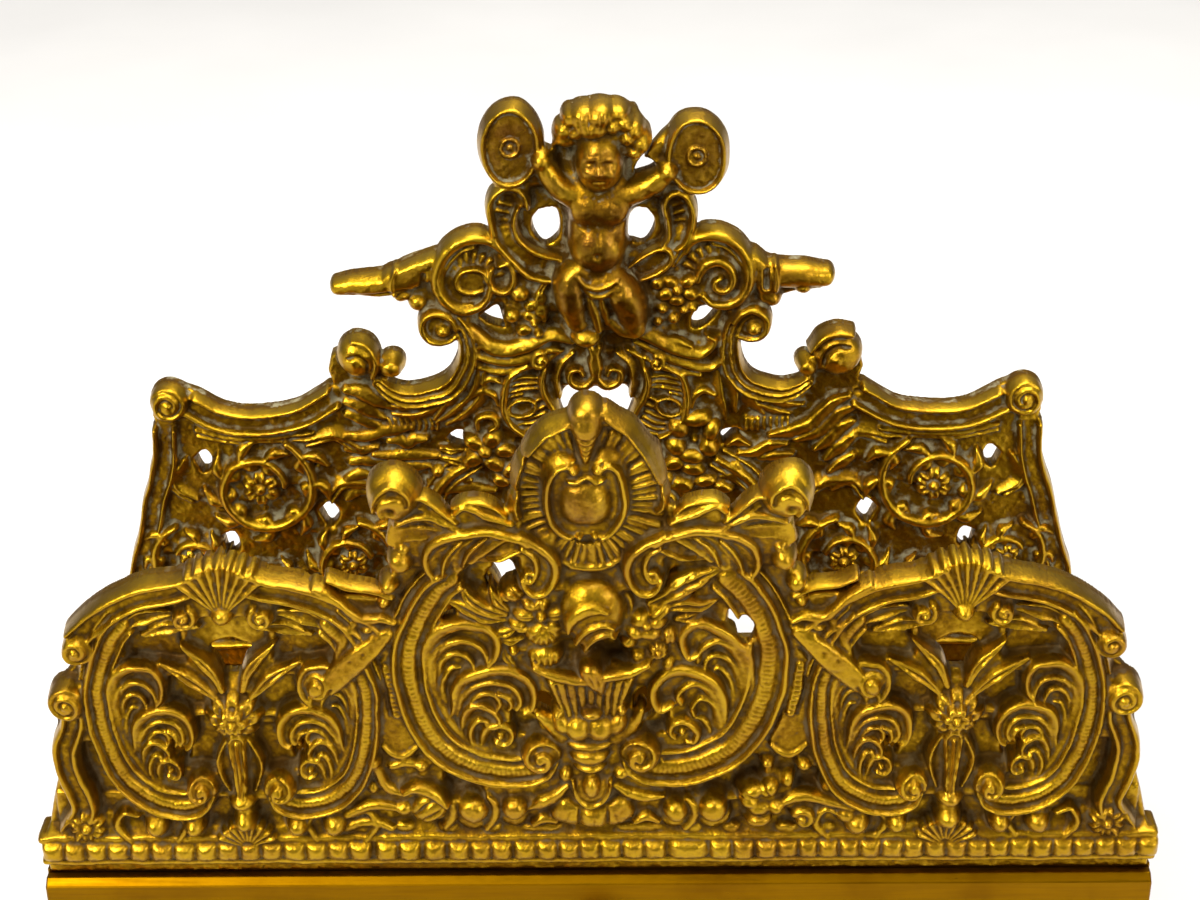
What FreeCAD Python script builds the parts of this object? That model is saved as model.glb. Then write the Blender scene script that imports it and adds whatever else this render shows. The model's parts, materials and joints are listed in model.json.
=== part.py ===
import FreeCAD, Part
import math
import os

# Cast brass letter rack on a shallow base with one pull-out drawer.
# Millimetres, +Z up, X along the width, +Y towards the back.
# Origin: middle of the footprint, on the surface the feet stand on.

V = FreeCAD.Vector

# ---------------------------------------------------------------- driving sizes
WIDTH = 250.0            # outside width of the case
HALF_W = WIDTH / 2.0
Y_CASE_FRONT = -38.0     # front edges of the case
Y_CASE_BACK = 54.0       # back face of the case
FOOT_H = 10.0            # feet lift the case off the table
SHEET = 2.0              # case bottom sheet
WALL = 2.5               # case side and back walls
TOP_T = 3.0              # case top plate
Z_BOTTOM = FOOT_H
Z_WALL = Z_BOTTOM + SHEET
Z_TOP = 43.0             # upper face of the case top
Z_TOP_UNDER = Z_TOP - TOP_T

RUNNER_W = 6.0
RUNNER_H = 2.0
RUN_CLEAR = 0.3          # running clearance of the drawer

DRAWER_FRONT_T = 3.7     # drawer front stands proud of the case
Y_DRAWER_FRONT = -42.0
Z_DF_LOW = 10.6
Z_DF_HIGH = 42.4
DRAWER_SHEET = 1.5
DRAWER_HALF_W = HALF_W - WALL - 0.5
Z_DRAWER_LOW = Z_WALL + RUNNER_H + RUN_CLEAR
Z_DRAWER_HIGH = 36.0
Y_DRAWER_BACK = 50.5
TRAVEL = 66.0            # drawer travel to the stops
STOP_GAP = 0.3
STOP_X = 62.0

KNOB_R = 5.0
KNOB_Z = 26.0
Y_KNOB_TIP = -54.0

PANEL_HALF_W = 124.5
FRONT_FACE = -36.5       # front panel: web front face
FRONT_BACK = -31.5
RAIL_FRONT = -37.5       # front panel: bottom rail
RAIL_BACK = -30.5
RAIL_H = 8.5
BACK_FACE = 45.0         # back panel: web front face
BACK_BACK = 50.5
BRAIL_FRONT = 43.5       # back panel: bottom rail
BRAIL_BACK = 51.0

SCREW_R = 1.5
SCREW_HEAD_R = 2.9
SCREW_HEAD_H = 1.7
PANEL_SCREW_X = (-92.0, 0.0, 92.0)
FOOT_X = 106.0
FOOT_Y_FRONT = -26.0
FOOT_Y_BACK = 42.0

os.makedirs("parts", exist_ok=True)


# ---------------------------------------------------------------- helpers
def box(x0, x1, y0, y1, z0, z1):
    return Part.makeBox(x1 - x0, y1 - y0, z1 - z0, V(x0, y0, z0))


def prism(points, y0, y1):
    """Closed outline in X,Z extruded from y0 to y1."""
    vs = [V(x, y0, z) for x, z in points]
    vs.append(vs[0])
    face = Part.Face(Part.makePolygon(vs))
    return face.extrude(V(0, y1 - y0, 0))


def mirrored(points):
    return [(-x, z) for x, z in reversed(points)]


def full_outline(half):
    """Left half from the top of the axis to the foot of the end, plus its mirror image."""
    right = [(-x, z) for x, z in reversed(half)]
    if abs(half[0][0]) < 1e-6:
        right = right[:-1]
    return half + right


def disc(x, z, r, y0, y1, rz=None):
    """Round or oval boss along Y."""
    n = 36
    rz = r if rz is None else rz
    pts = [(x + r * math.cos(2 * math.pi * i / n), z + rz * math.sin(2 * math.pi * i / n)) for i in range(n)]
    return prism(pts, y0, y1)


def band(points, half_width, y0, y1):
    """Scroll band of even width along a centre line."""
    left, right = [], []
    n = len(points)
    for i in range(n):
        a = points[max(i - 1, 0)]
        b = points[min(i + 1, n - 1)]
        tx, tz = b[0] - a[0], b[1] - a[1]
        ln = math.hypot(tx, tz)
        nx, nz = -tz / ln, tx / ln
        x, z = points[i]
        left.append((x + nx * half_width, z + nz * half_width))
        right.append((x - nx * half_width, z - nz * half_width))
    return prism(left + right[::-1], y0, y1)


def ball(x, y, z, r):
    return Part.makeSphere(r, V(x, y, z))


def rod(p, q, r):
    d = V(*q) - V(*p)
    return Part.makeCylinder(r, d.Length, V(*p), d)


def both(make):
    """The same feature left and right of the axis."""
    return [make(-1.0), make(1.0)]


def fuse_all(base, others):
    s = base.multiFuse(others)
    return s.removeSplitter()


def save(name, shape):
    shape.exportStep("parts/" + name + ".step")
    sol = shape.Solids
    print(name, "solids", len(sol), "valid", shape.isValid(), "volume", round(shape.Volume, 1))


# ---------------------------------------------------------------- case
hole_pts = [(x, (RAIL_FRONT + RAIL_BACK) / 2.0) for x in PANEL_SCREW_X]
hole_pts += [(x, (BRAIL_FRONT + BRAIL_BACK) / 2.0) for x in PANEL_SCREW_X]

case_top = box(-HALF_W, HALF_W, Y_CASE_FRONT, Y_CASE_BACK, Z_TOP_UNDER, Z_TOP)
for hx, hy in hole_pts:
    case_top = case_top.cut(Part.makeCylinder(SCREW_R, TOP_T + 2, V(hx, hy, Z_TOP_UNDER - 1)))
save("case_top", case_top)

foot_xy = [(-FOOT_X, FOOT_Y_FRONT), (FOOT_X, FOOT_Y_FRONT), (-FOOT_X, FOOT_Y_BACK), (FOOT_X, FOOT_Y_BACK)]
case_bottom = box(-HALF_W, HALF_W, Y_CASE_FRONT, Y_CASE_BACK, Z_BOTTOM, Z_WALL)
for fx, fy in foot_xy:
    case_bottom = case_bottom.cut(Part.makeCylinder(SCREW_R, SHEET + 2, V(fx, fy, Z_BOTTOM - 1)))
save("case_bottom", case_bottom)

save("case_side_left", box(-HALF_W, -HALF_W + WALL, Y_CASE_FRONT, Y_CASE_BACK, Z_WALL, Z_TOP_UNDER))
save("case_side_right", box(HALF_W - WALL, HALF_W, Y_CASE_FRONT, Y_CASE_BACK, Z_WALL, Z_TOP_UNDER))
save("case_back", box(-HALF_W + WALL, HALF_W - WALL, Y_CASE_BACK - WALL, Y_CASE_BACK, Z_WALL, Z_TOP_UNDER))

RX0 = HALF_W - WALL - 1.0 - RUNNER_W
for nm, sg in (("runner_left", -1), ("runner_right", 1)):
    x0, x1 = sorted((sg * RX0, sg * (RX0 + RUNNER_W)))
    save(nm, box(x0, x1, Y_CASE_FRONT + 1.0, Y_CASE_BACK - WALL, Z_WALL, Z_WALL + RUNNER_H))

# stop tabs hang from the case top and meet the drawer back at full travel
Y_STOP_REAR = Y_DRAWER_BACK - DRAWER_SHEET - TRAVEL - STOP_GAP
stops = []
for sg in (-1, 1):
    leg = box(sg * STOP_X - 6, sg * STOP_X + 6, Y_STOP_REAR - 1.5, Y_STOP_REAR, Z_DRAWER_HIGH - 3.0, Z_TOP_UNDER)
    flange = box(sg * STOP_X - 6, sg * STOP_X + 6, Y_STOP_REAR - 9.0, Y_STOP_REAR - 1.5, Z_TOP_UNDER - 1.5, Z_TOP_UNDER)
    stops.append(leg.fuse(flange).removeSplitter())
save("drawer_stops", Part.makeCompound(stops))

# ---------------------------------------------------------------- feet
def foot_shape(fx, fy):
    prof = [(0, 0), (6.2, 0), (7.6, 0.9), (8.4, 2.4), (8.6, 4.0), (8.1, 5.6), (6.8, 6.9),
            (5.6, 7.6), (5.6, 8.2), (7.4, 8.8), (7.8, 9.4), (7.8, FOOT_H), (0, FOOT_H)]
    vs = [V(r, 0, z) for r, z in prof]
    vs.append(vs[0])
    f = Part.Face(Part.makePolygon(vs)).revolve(V(0, 0, 0), V(0, 0, 1), 360)
    f = f.cut(Part.makeCylinder(SCREW_R, 6.0, V(0, 0, FOOT_H - 6.0)))
    f.translate(V(fx, fy, 0))
    return f


for nm, (fx, fy) in zip(("foot_front_left", "foot_front_right", "foot_back_left", "foot_back_right"), foot_xy):
    save(nm, foot_shape(fx, fy))

foot_screws = []
for fx, fy in foot_xy:
    shank = Part.makeCylinder(SCREW_R, SHEET + 6.0, V(fx, fy, Z_WALL - SHEET - 6.0))
    head = Part.makeCone(SCREW_HEAD_R, SCREW_HEAD_R - 0.8, 1.3, V(fx, fy, Z_WALL))
    head = head.cut(box(fx - 4, fx + 4, fy - 0.3, fy + 0.3, Z_WALL + 0.7, Z_WALL + 3))
    foot_screws.append(shank.fuse(head).removeSplitter())
save("foot_screws", Part.makeCompound(foot_screws))

# ---------------------------------------------------------------- drawer
dfx = HALF_W
df = box(-dfx, dfx, Y_DRAWER_FRONT, Y_DRAWER_FRONT + DRAWER_FRONT_T, Z_DF_LOW, Z_DF_HIGH)
front_edges = []
for e in df.Edges:
    bb = e.BoundBox
    if abs(bb.YMin - Y_DRAWER_FRONT) < 1e-6 and abs(bb.YMax - Y_DRAWER_FRONT) < 1e-6:
        front_edges.append(e)
df = df.makeFillet(1.1, front_edges)
df = df.cut(Part.makeCylinder(SCREW_R, 10, V(0, Y_DRAWER_FRONT - 3, KNOB_Z), V(0, 1, 0)))
save("drawer_front", df)

Y_DF_BACK = Y_DRAWER_FRONT + DRAWER_FRONT_T
save("drawer_bottom", box(-DRAWER_HALF_W, DRAWER_HALF_W, Y_DF_BACK, Y_DRAWER_BACK, Z_DRAWER_LOW, Z_DRAWER_LOW + DRAWER_SHEET))
zs0 = Z_DRAWER_LOW + DRAWER_SHEET
save("drawer_side_left", box(-DRAWER_HALF_W, -DRAWER_HALF_W + DRAWER_SHEET, Y_DF_BACK, Y_DRAWER_BACK, zs0, Z_DRAWER_HIGH))
save("drawer_side_right", box(DRAWER_HALF_W - DRAWER_SHEET, DRAWER_HALF_W, Y_DF_BACK, Y_DRAWER_BACK, zs0, Z_DRAWER_HIGH))
save("drawer_back", box(-DRAWER_HALF_W + DRAWER_SHEET, DRAWER_HALF_W - DRAWER_SHEET, Y_DRAWER_BACK - DRAWER_SHEET, Y_DRAWER_BACK, zs0, Z_DRAWER_HIGH))

# turned knob: flange, neck and ball, profile as radius against distance from the drawer front
kp = [(0, 0), (4.6, 0), (4.6, 0.7), (3.9, 1.2), (2.5, 1.7), (2.1, 2.8), (2.3, 3.6), (3.4, 4.2)]
for i in range(0, 13):
    a = math.radians(-38 + i * 128 / 12.0)
    kp.append((KNOB_R * math.cos(a), 12.0 - KNOB_R + KNOB_R * math.sin(a)))
kp[-1] = (0, 12.0)
vs = [V(r, -d, 0) for r, d in kp]
vs.append(vs[0])
knob = Part.Face(Part.makePolygon(vs)).revolve(V(0, 0, 0), V(0, 1, 0), 360)
knob.translate(V(0, Y_DRAWER_FRONT, KNOB_Z))
knob = knob.cut(Part.makeCylinder(SCREW_R, 7.0, V(0, Y_DRAWER_FRONT - 7.0, KNOB_Z), V(0, 1, 0)))
save("drawer_knob", knob)

ks = Part.makeCylinder(SCREW_R, 7.0 + DRAWER_FRONT_T, V(0, Y_DRAWER_FRONT - 7.0, KNOB_Z), V(0, 1, 0))
kh = Part.makeCylinder(SCREW_HEAD_R, SCREW_HEAD_H, V(0, Y_DF_BACK, KNOB_Z), V(0, 1, 0))
kh = kh.cut(box(-4, 4, Y_DF_BACK + 1.0, Y_DF_BACK + 4, KNOB_Z - 0.35, KNOB_Z + 0.35))
save("knob_screw", ks.fuse(kh).removeSplitter())

# ---------------------------------------------------------------- front panel
front_half = [
    (0.0, 161.2), (-3.6, 160.1), (-5.9, 158.7), (-10.6, 156.3), (-14.2, 151.5), (-16.2, 145.7), (-16.8, 139.4),
    (-20.4, 137.1), (-25.4, 136.6), (-30.2, 138.1), (-34.1, 138.9), (-34.8, 142.6), (-36.6, 145.7), (-40.3, 147.1),
    (-44.0, 145.5), (-46.6, 141.3), (-46.2, 136.6), (-43.6, 133.0), (-41.7, 129.1), (-43.0, 125.5), (-42.7, 123.1),
    (-45.1, 117.7), (-46.8, 113.7), (-47.2, 111.5), (-48.9, 112.0), (-51.4, 114.8),
    (-56.0, 118.5), (-62.0, 121.0), (-69.0, 122.5), (-75.0, 125.0), (-78.0, 127.5), (-81.0, 125.0), (-87.0, 122.5),
    (-94.0, 118.5), (-100.5, 112.5), (-106.0, 106.0), (-110.0, 100.5), (-114.5, 97.0), (-118.5, 93.0), (-120.0, 87.0),
    (-118.5, 81.0), (-119.5, 72.0), (-122.5, 62.0), (-124.5, 54.0), (-124.5, 43.0)]

front_holes = [
    [(-21.5, 121.4), (-17.3, 122.3), (-14.8, 119.4), (-16.4, 115.4), (-20.2, 115.4), (-22.5, 118.4)],
    [(-34.0, 112.0), (-30.5, 113.0), (-27.5, 108.0), (-29.0, 101.5), (-33.0, 98.5), (-36.0, 104.0)],
    [(-31.5, 92.0), (-27.0, 94.0), (-23.0, 88.0), (-24.5, 80.0), (-29.0, 82.5)],
    [(-16.0, 90.5), (-11.5, 92.0), (-9.5, 84.0), (-13.0, 79.5), (-17.0, 83.0)],
    [(-73.5, 102.0), (-78.0, 105.0), (-82.5, 102.0), (-82.0, 96.0), (-78.0, 93.5), (-74.0, 96.0)],
    [(-67.0, 97.0), (-70.5, 92.0), (-69.5, 86.0), (-64.0, 84.0), (-60.0, 88.0), (-61.5, 94.0)],
    [(-89.0, 97.0), (-85.5, 92.0), (-86.5, 86.0), (-92.0, 84.0), (-96.0, 88.0), (-94.5, 94.0)],
    [(-62.0, 79.0), (-68.0, 80.0), (-72.0, 76.0), (-70.0, 69.0), (-66.0, 68.5), (-62.5, 73.0)],
    [(-94.0, 79.0), (-88.0, 80.0), (-84.0, 76.0), (-86.0, 69.0), (-90.0, 68.5), (-93.5, 73.0)],
]

fp = prism(full_outline(front_half), FRONT_BACK, FRONT_FACE)
cuts = []
for h in front_holes:
    cuts.append(prism(h, FRONT_BACK + 2, FRONT_FACE - 2))
    cuts.append(prism(mirrored(h), FRONT_BACK + 2, FRONT_FACE - 2))
fp = fp.cut(Part.makeCompound(cuts))

YF = FRONT_FACE + 1.0       # relief is rooted in the web
scroll = [(-34.2, 120.6), (-38.0, 115.5), (-40.6, 110.5), (-42.2, 105.0), (-42.8, 99.0), (-42.0, 92.0), (-40.0, 85.0),
          (-36.8, 79.0), (-32.5, 73.5), (-27.0, 69.3), (-21.0, 66.8), (-15.5, 66.8), (-11.5, 69.0), (-9.3, 73.0)]
hood = [(-34.5, 124.0), (-31.5, 129.0), (-25.5, 132.5), (-19.0, 132.8), (-13.5, 130.0), (-10.2, 125.5)]
inner = [(-33.0, 96.0), (-31.0, 103.0), (-26.5, 106.8), (-22.0, 105.0), (-20.8, 100.5)]
inner2 = [(-27.5, 88.5), (-23.5, 94.2), (-17.5, 95.0), (-13.2, 91.5), (-13.0, 87.5)]
end_scroll = [(-110.5, 62.0), (-115.0, 69.0), (-115.5, 78.0), (-113.0, 86.0), (-114.0, 92.0)]
bridge = [(-45.0, 108.0), (-50.0, 110.5), (-56.0, 114.5), (-63.0, 117.0), (-70.0, 118.0), (-76.5, 120.5)]
adds = []
for pts, hw, y1 in ((scroll, 3.0, -41.5), (hood, 3.2, -42.5), (inner, 2.0, -39.5), (inner2, 2.0, -39.5),
                    (end_scroll, 2.6, -40.0), (bridge, 2.6, -40.0)):
    adds.append(band(pts, hw, YF, y1))
    adds.append(band(mirrored(pts), hw, YF, y1))
ring = disc(-78.0, 84.0, 28.5, YF, -41.0, 27.5).cut(disc(-78.0, 84.0, 23.0, YF + 1, -42.0, 22.0))
adds.append(ring)
adds.append(ring.mirror(V(0, 0, 0), V(1, 0, 0)))
adds += both(lambda s: ball(s * 40.3, -38.6, 141.6, 6.3))
adds += both(lambda s: disc(s * 11.3, 122.4, 3.6, YF, -43.0))
adds += both(lambda s: disc(s * 11.0, 76.8, 3.6, YF, -42.5))
adds += both(lambda s: ball(s * 78.0, -37.2, 84.0, 5.6))
adds += both(lambda s: ball(s * 78.0, -37.0, 121.5, 3.6))
adds += both(lambda s: ball(s * 27.2, -37.4, 59.6, 2.9))
adds += both(lambda s: ball(s * 18.4, -37.4, 59.6, 2.5))
adds += both(lambda s: ball(s * 37.8, -37.4, 60.4, 3.6))
adds.append(disc(0.0, 143.4, 14.6, YF, -40.5, 15.6))
adds.append(disc(0.0, 140.6, 9.2, YF, -42.0, 10.6))
adds.append(ball(0.0, -40.4, 140.3, 4.4))
adds.append(ball(0.0, -39.0, 155.6, 3.9))
adds.append(ball(0.0, -39.2, 113.6, 7.2))
adds.append(prism([(-12.0, 98.5), (12.0, 98.5), (9.0, 95.5), (5.0, 86.0), (-5.0, 86.0), (-9.0, 95.5)], YF, -42.0))
adds.append(disc(0.0, 82.2, 6.0, YF, -42.4, 3.2))
adds.append(disc(0.0, 74.8, 3.8, YF, -41.4, 3.4))
adds.append(ball(0.0, -38.8, 67.3, 4.0))
rail = box(-PANEL_HALF_W, PANEL_HALF_W, RAIL_FRONT, RAIL_BACK, Z_TOP, Z_TOP + RAIL_H)
rail = rail.fuse(Part.makeCylinder(2.1, 2 * PANEL_HALF_W - 2.0, V(-PANEL_HALF_W + 1.0, RAIL_FRONT + 0.3, Z_TOP + 4.4), V(1, 0, 0)))
adds.append(rail)
fp = fuse_all(fp, adds)
yr = (RAIL_FRONT + RAIL_BACK) / 2.0
for sx in PANEL_SCREW_X:
    fp = fp.cut(Part.makeCylinder(SCREW_R, 6.0, V(sx, yr, Z_TOP)))
save("front_panel", fp)

# ---------------------------------------------------------------- back panel
back_half = [
    (0.0, 198.9), (-3.9, 197.8), (-7.7, 195.0), (-9.8, 190.0), (-10.2, 185.2), (-11.4, 189.6), (-13.6, 195.3),
    (-18.2, 198.4), (-23.0, 196.8), (-26.1, 192.1), (-27.5, 185.9), (-26.4, 180.0), (-23.3, 176.3), (-25.2, 173.2),
    (-26.0, 168.7), (-24.8, 164.2), (-29.0, 165.0), (-33.7, 163.3), (-36.9, 159.8), (-38.2, 157.5), (-45.8, 156.3),
    (-54.2, 154.3), (-58.1, 152.6), (-59.2, 150.0), (-57.7, 147.4), (-48.5, 146.8), (-45.3, 145.2), (-41.3, 143.6),
    (-42.0, 140.2), (-40.3, 136.5), (-36.8, 135.7), (-33.6, 136.7), (-33.3, 133.3), (-34.9, 129.5), (-38.6, 126.4),
    (-46.2, 124.8), (-49.5, 125.9), (-47.5, 129.1), (-48.9, 132.6), (-51.9, 133.4), (-53.0, 136.1), (-56.0, 138.0),
    (-59.5, 138.5), (-63.0, 137.2), (-66.0, 134.2), (-66.6, 129.0), (-65.0, 125.5), (-69.0, 121.5), (-77.0, 118.4),
    (-86.0, 118.0), (-93.0, 120.0), (-97.5, 124.2), (-102.0, 127.6), (-107.5, 127.0), (-110.5, 122.5), (-110.0, 116.0),
    (-108.5, 110.0), (-111.5, 100.0), (-115.0, 90.0), (-118.0, 80.0), (-121.0, 68.0), (-123.5, 56.0), (-124.5, 53.0),
    (-124.5, 43.0)]

back_holes = [
    [(-12.6, 169.3), (-8.9, 169.7), (-7.9, 166.7), (-8.6, 162.2), (-11.4, 160.7), (-13.9, 163.3), (-14.3, 166.8)],
    [(-30.0, 142.9), (-26.3, 145.4), (-22.7, 145.7), (-20.0, 142.2), (-21.1, 138.0), (-25.0, 136.0), (-28.3, 138.1)],
    [(-36.8, 109.4), (-34.3, 111.4), (-30.8, 110.5), (-31.5, 107.5), (-35.2, 107.2)],
    [(-26.0, 79.0), (-21.0, 81.0), (-17.5, 77.0), (-18.5, 71.0), (-24.0, 69.5), (-28.0, 73.5)],
    [(-40.0, 62.5), (-35.5, 64.5), (-31.0, 62.0), (-31.5, 57.5), (-36.0, 56.0), (-40.0, 58.0)],
    [(-60.0, 96.0), (-54.0, 98.5), (-49.0, 97.0), (-52.0, 92.5), (-58.0, 87.0), (-64.5, 82.0), (-65.0, 88.0)],
    [(-52.0, 84.0), (-46.0, 88.0), (-42.0, 82.0), (-43.5, 74.0), (-50.0, 72.0), (-56.0, 76.0)],
    [(-88.0, 108.0), (-82.0, 109.0), (-78.0, 104.0), (-80.0, 97.0), (-86.0, 95.0), (-91.0, 99.5)],
    [(-80.0, 84.0), (-74.0, 86.0), (-70.0, 80.0), (-71.5, 72.0), (-77.0, 68.0), (-82.0, 74.0)],
    [(-100.0, 92.0), (-94.0, 92.0), (-90.0, 86.0), (-92.0, 78.0), (-98.0, 75.0), (-102.5, 82.0)],
    [(-108.0, 70.0), (-102.0, 71.0), (-98.0, 66.0), (-101.0, 60.0), (-107.0, 58.5), (-111.0, 63.0)],
    [(-84.0, 63.0), (-78.0, 63.0), (-74.0, 59.5), (-77.0, 56.0), (-84.0, 56.0), (-87.0, 59.5)],
    [(-10.0, 98.0), (-4.5, 99.0), (-3.2, 92.0), (-4.5, 84.0), (-9.5, 83.0), (-13.0, 90.0)],
]
centre_hole = [(-9.2, 120.6), (-5.3, 124.4), (0.0, 123.4), (5.3, 124.4), (9.2, 120.6), (7.4, 115.0), (0.0, 113.0), (-7.4, 115.0)]

bp = prism(full_outline(back_half), BACK_BACK, BACK_FACE)
cuts = [prism(centre_hole, BACK_BACK + 2, BACK_FACE - 2)]
for h in back_holes:
    cuts.append(prism(h, BACK_BACK + 2, BACK_FACE - 2))
    cuts.append(prism(mirrored(h), BACK_BACK + 2, BACK_FACE - 2))
bp = bp.cut(Part.makeCompound(cuts))

YB = BACK_FACE + 1.0
wave = [(-35.0, 137.5), (-31.2, 133.0), (-32.0, 127.5), (-36.5, 123.8), (-43.0, 122.0), (-49.0, 122.6)]
horn = [(-34.5, 158.0), (-42.0, 153.2), (-50.0, 151.6), (-57.0, 150.2)]
wing = [(-66.5, 121.0), (-74.0, 116.0), (-83.0, 114.6), (-92.0, 115.8), (-99.5, 120.5)]
edge = [(-107.0, 112.0), (-107.8, 104.0), (-111.0, 94.0), (-114.0, 83.0), (-117.5, 71.0), (-120.5, 59.0)]
bar = [(-45.5, 94.5), (-52.0, 88.0), (-60.0, 80.5), (-68.0, 74.5), (-76.0, 66.0)]
ribbon = [(-21.5, 174.5), (-22.4, 168.0), (-19.5, 161.0), (-12.5, 157.2)]
adds = []
for pts, hw, y1 in ((wave, 2.6, 41.0), (horn, 3.0, 41.0), (wing, 2.6, 41.0), (edge, 2.4, 41.5), (bar, 2.4, 41.5),
                    (ribbon, 2.4, 41.0)):
    adds.append(band(pts, hw, YB, y1))
    adds.append(band(mirrored(pts), hw, YB, y1))
adds += both(lambda s: disc(s * 19.0, 187.4, 7.6, BACK_FACE + 2.0, 40.6, 10.3))
adds += both(lambda s: disc(s * 19.0, 187.2, 2.0, BACK_FACE + 1.0, 39.4, 2.4))
adds += both(lambda s: disc(s * 29.2, 154.4, 7.6, YB, 41.0))
adds += both(lambda s: disc(s * 29.2, 154.2, 3.0, YB, 39.5))
adds += both(lambda s: disc(s * 36.9, 140.6, 3.9, YB, 40.0))
adds += both(lambda s: ball(s * 52.0, 44.5, 129.6, 3.6))
adds += both(lambda s: ball(s * 59.6, 44.5, 132.6, 4.8))
adds += both(lambda s: ball(s * 104.6, 44.5, 121.2, 5.0))
adds += both(lambda s: disc(s * 17.0, 120.4, 4.2, YB, 42.0, 6.4))
# child figure: hair, head, trunk, limbs and the drape across the lap
adds.append(ball(0.6, 43.0, 188.6, 9.2))
adds.append(ball(0.6, 39.6, 182.0, 5.4))
adds.append(Part.makeCone(5.4, 6.6, 17.0, V(0.6, 42.4, 158.5), V(0, 0, 1)))
adds.append(ball(0.6, 42.4, 158.8, 5.9))
adds += both(lambda s: rod((0.6 + s * 5.0, 42.6, 174.2), (0.6 + s * 14.4, 42.8, 180.2), 2.7))
adds += both(lambda s: rod((0.6 + s * 3.6, 40.6, 157.0), (0.6 + s * 6.0, 38.6, 148.6), 3.7))
adds += both(lambda s: ball(0.6 + s * 6.0, 38.6, 148.6, 3.75))
adds += both(lambda s: rod((0.6 + s * 6.0, 38.8, 148.6), (0.6 + s * 3.2, 41.2, 139.2), 3.1))
adds += both(lambda s: ball(0.6 + s * 3.2, 41.0, 138.6, 3.3))
brail = box(-PANEL_HALF_W, PANEL_HALF_W, BRAIL_FRONT, BRAIL_BACK, Z_TOP, Z_TOP + RAIL_H)
adds.append(brail)
bp = fuse_all(bp, adds)
yr = (BRAIL_FRONT + BRAIL_BACK) / 2.0
for sx in PANEL_SCREW_X:
    bp = bp.cut(Part.makeCylinder(SCREW_R, 6.0, V(sx, yr, Z_TOP)))
save("back_panel", bp)


# ---------------------------------------------------------------- panel screws
def panel_screws(y):
    out = []
    for sx in PANEL_SCREW_X:
        shank = Part.makeCylinder(SCREW_R, TOP_T + 6.0, V(sx, y, Z_TOP_UNDER))
        head = Part.makeCylinder(SCREW_HEAD_R, SCREW_HEAD_H, V(sx, y, Z_TOP_UNDER - SCREW_HEAD_H))
        head = head.cut(box(sx - 4, sx + 4, y - 0.35, y + 0.35, Z_TOP_UNDER - SCREW_HEAD_H - 1, Z_TOP_UNDER - SCREW_HEAD_H + 0.8))
        out.append(shank.fuse(head).removeSplitter())
    return Part.makeCompound(out)


save("front_panel_screws", panel_screws((RAIL_FRONT + RAIL_BACK) / 2.0))
save("back_panel_screws", panel_screws((BRAIL_FRONT + BRAIL_BACK) / 2.0))
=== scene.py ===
import json
import math

import bpy
import numpy as np
from mathutils import Matrix, Vector


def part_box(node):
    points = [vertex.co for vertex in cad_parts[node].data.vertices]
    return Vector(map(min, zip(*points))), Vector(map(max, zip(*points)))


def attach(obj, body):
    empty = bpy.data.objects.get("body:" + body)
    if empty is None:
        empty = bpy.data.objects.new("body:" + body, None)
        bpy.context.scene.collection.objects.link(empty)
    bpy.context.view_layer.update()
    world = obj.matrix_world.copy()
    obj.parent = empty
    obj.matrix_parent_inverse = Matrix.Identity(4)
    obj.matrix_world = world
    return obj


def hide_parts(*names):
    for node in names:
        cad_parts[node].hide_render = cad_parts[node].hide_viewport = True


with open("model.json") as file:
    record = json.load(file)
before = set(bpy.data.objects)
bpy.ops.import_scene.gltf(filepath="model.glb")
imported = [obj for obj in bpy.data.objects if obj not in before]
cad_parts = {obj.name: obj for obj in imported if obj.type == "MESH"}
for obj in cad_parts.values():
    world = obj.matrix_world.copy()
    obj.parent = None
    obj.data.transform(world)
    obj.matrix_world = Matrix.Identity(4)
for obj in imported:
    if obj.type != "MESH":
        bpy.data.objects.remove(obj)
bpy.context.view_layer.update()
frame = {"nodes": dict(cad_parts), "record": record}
CELL = 0.22      # relief grid, mm
FACES = 400000  # triangles kept per casting

# ------------------------------------------------------------------ camera (mm, frame 1200 x 900)
F_PX = 2156.0
PITCH, ROLL, YAW = math.radians(28.0), math.radians(0.823), math.radians(0.823)
CAM = np.array([7.63, -425.5, 356.0])
FWD = np.array([-math.sin(YAW) * math.cos(PITCH), math.cos(YAW) * math.cos(PITCH), -math.sin(PITCH)])
RIGHT = np.array([math.cos(YAW), math.sin(YAW), 0.0])
UP = np.cross(RIGHT, FWD)
X_CAM = math.cos(ROLL) * RIGHT - math.sin(ROLL) * UP
Y_CAM = math.sin(ROLL) * RIGHT + math.cos(ROLL) * UP


def on_plane(pts, y):
    """Points of the picture frame laid on the upright plane at depth y (mm): x and z."""
    p = np.asarray(pts, float)
    d = (p[:, :1] - 600.0) * X_CAM + (450.0 - p[:, 1:2]) * Y_CAM + F_PX * FWD
    t = (y - CAM[1]) / d[:, 1:2]
    q = CAM + t * d
    return q[:, [0, 2]]


# ------------------------------------------------------------------ relief modelling
def smax(a, b, k):
    h = np.maximum(k - np.abs(a - b), 0.0) / k
    return np.maximum(a, b) + h * h * k * 0.25


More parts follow.
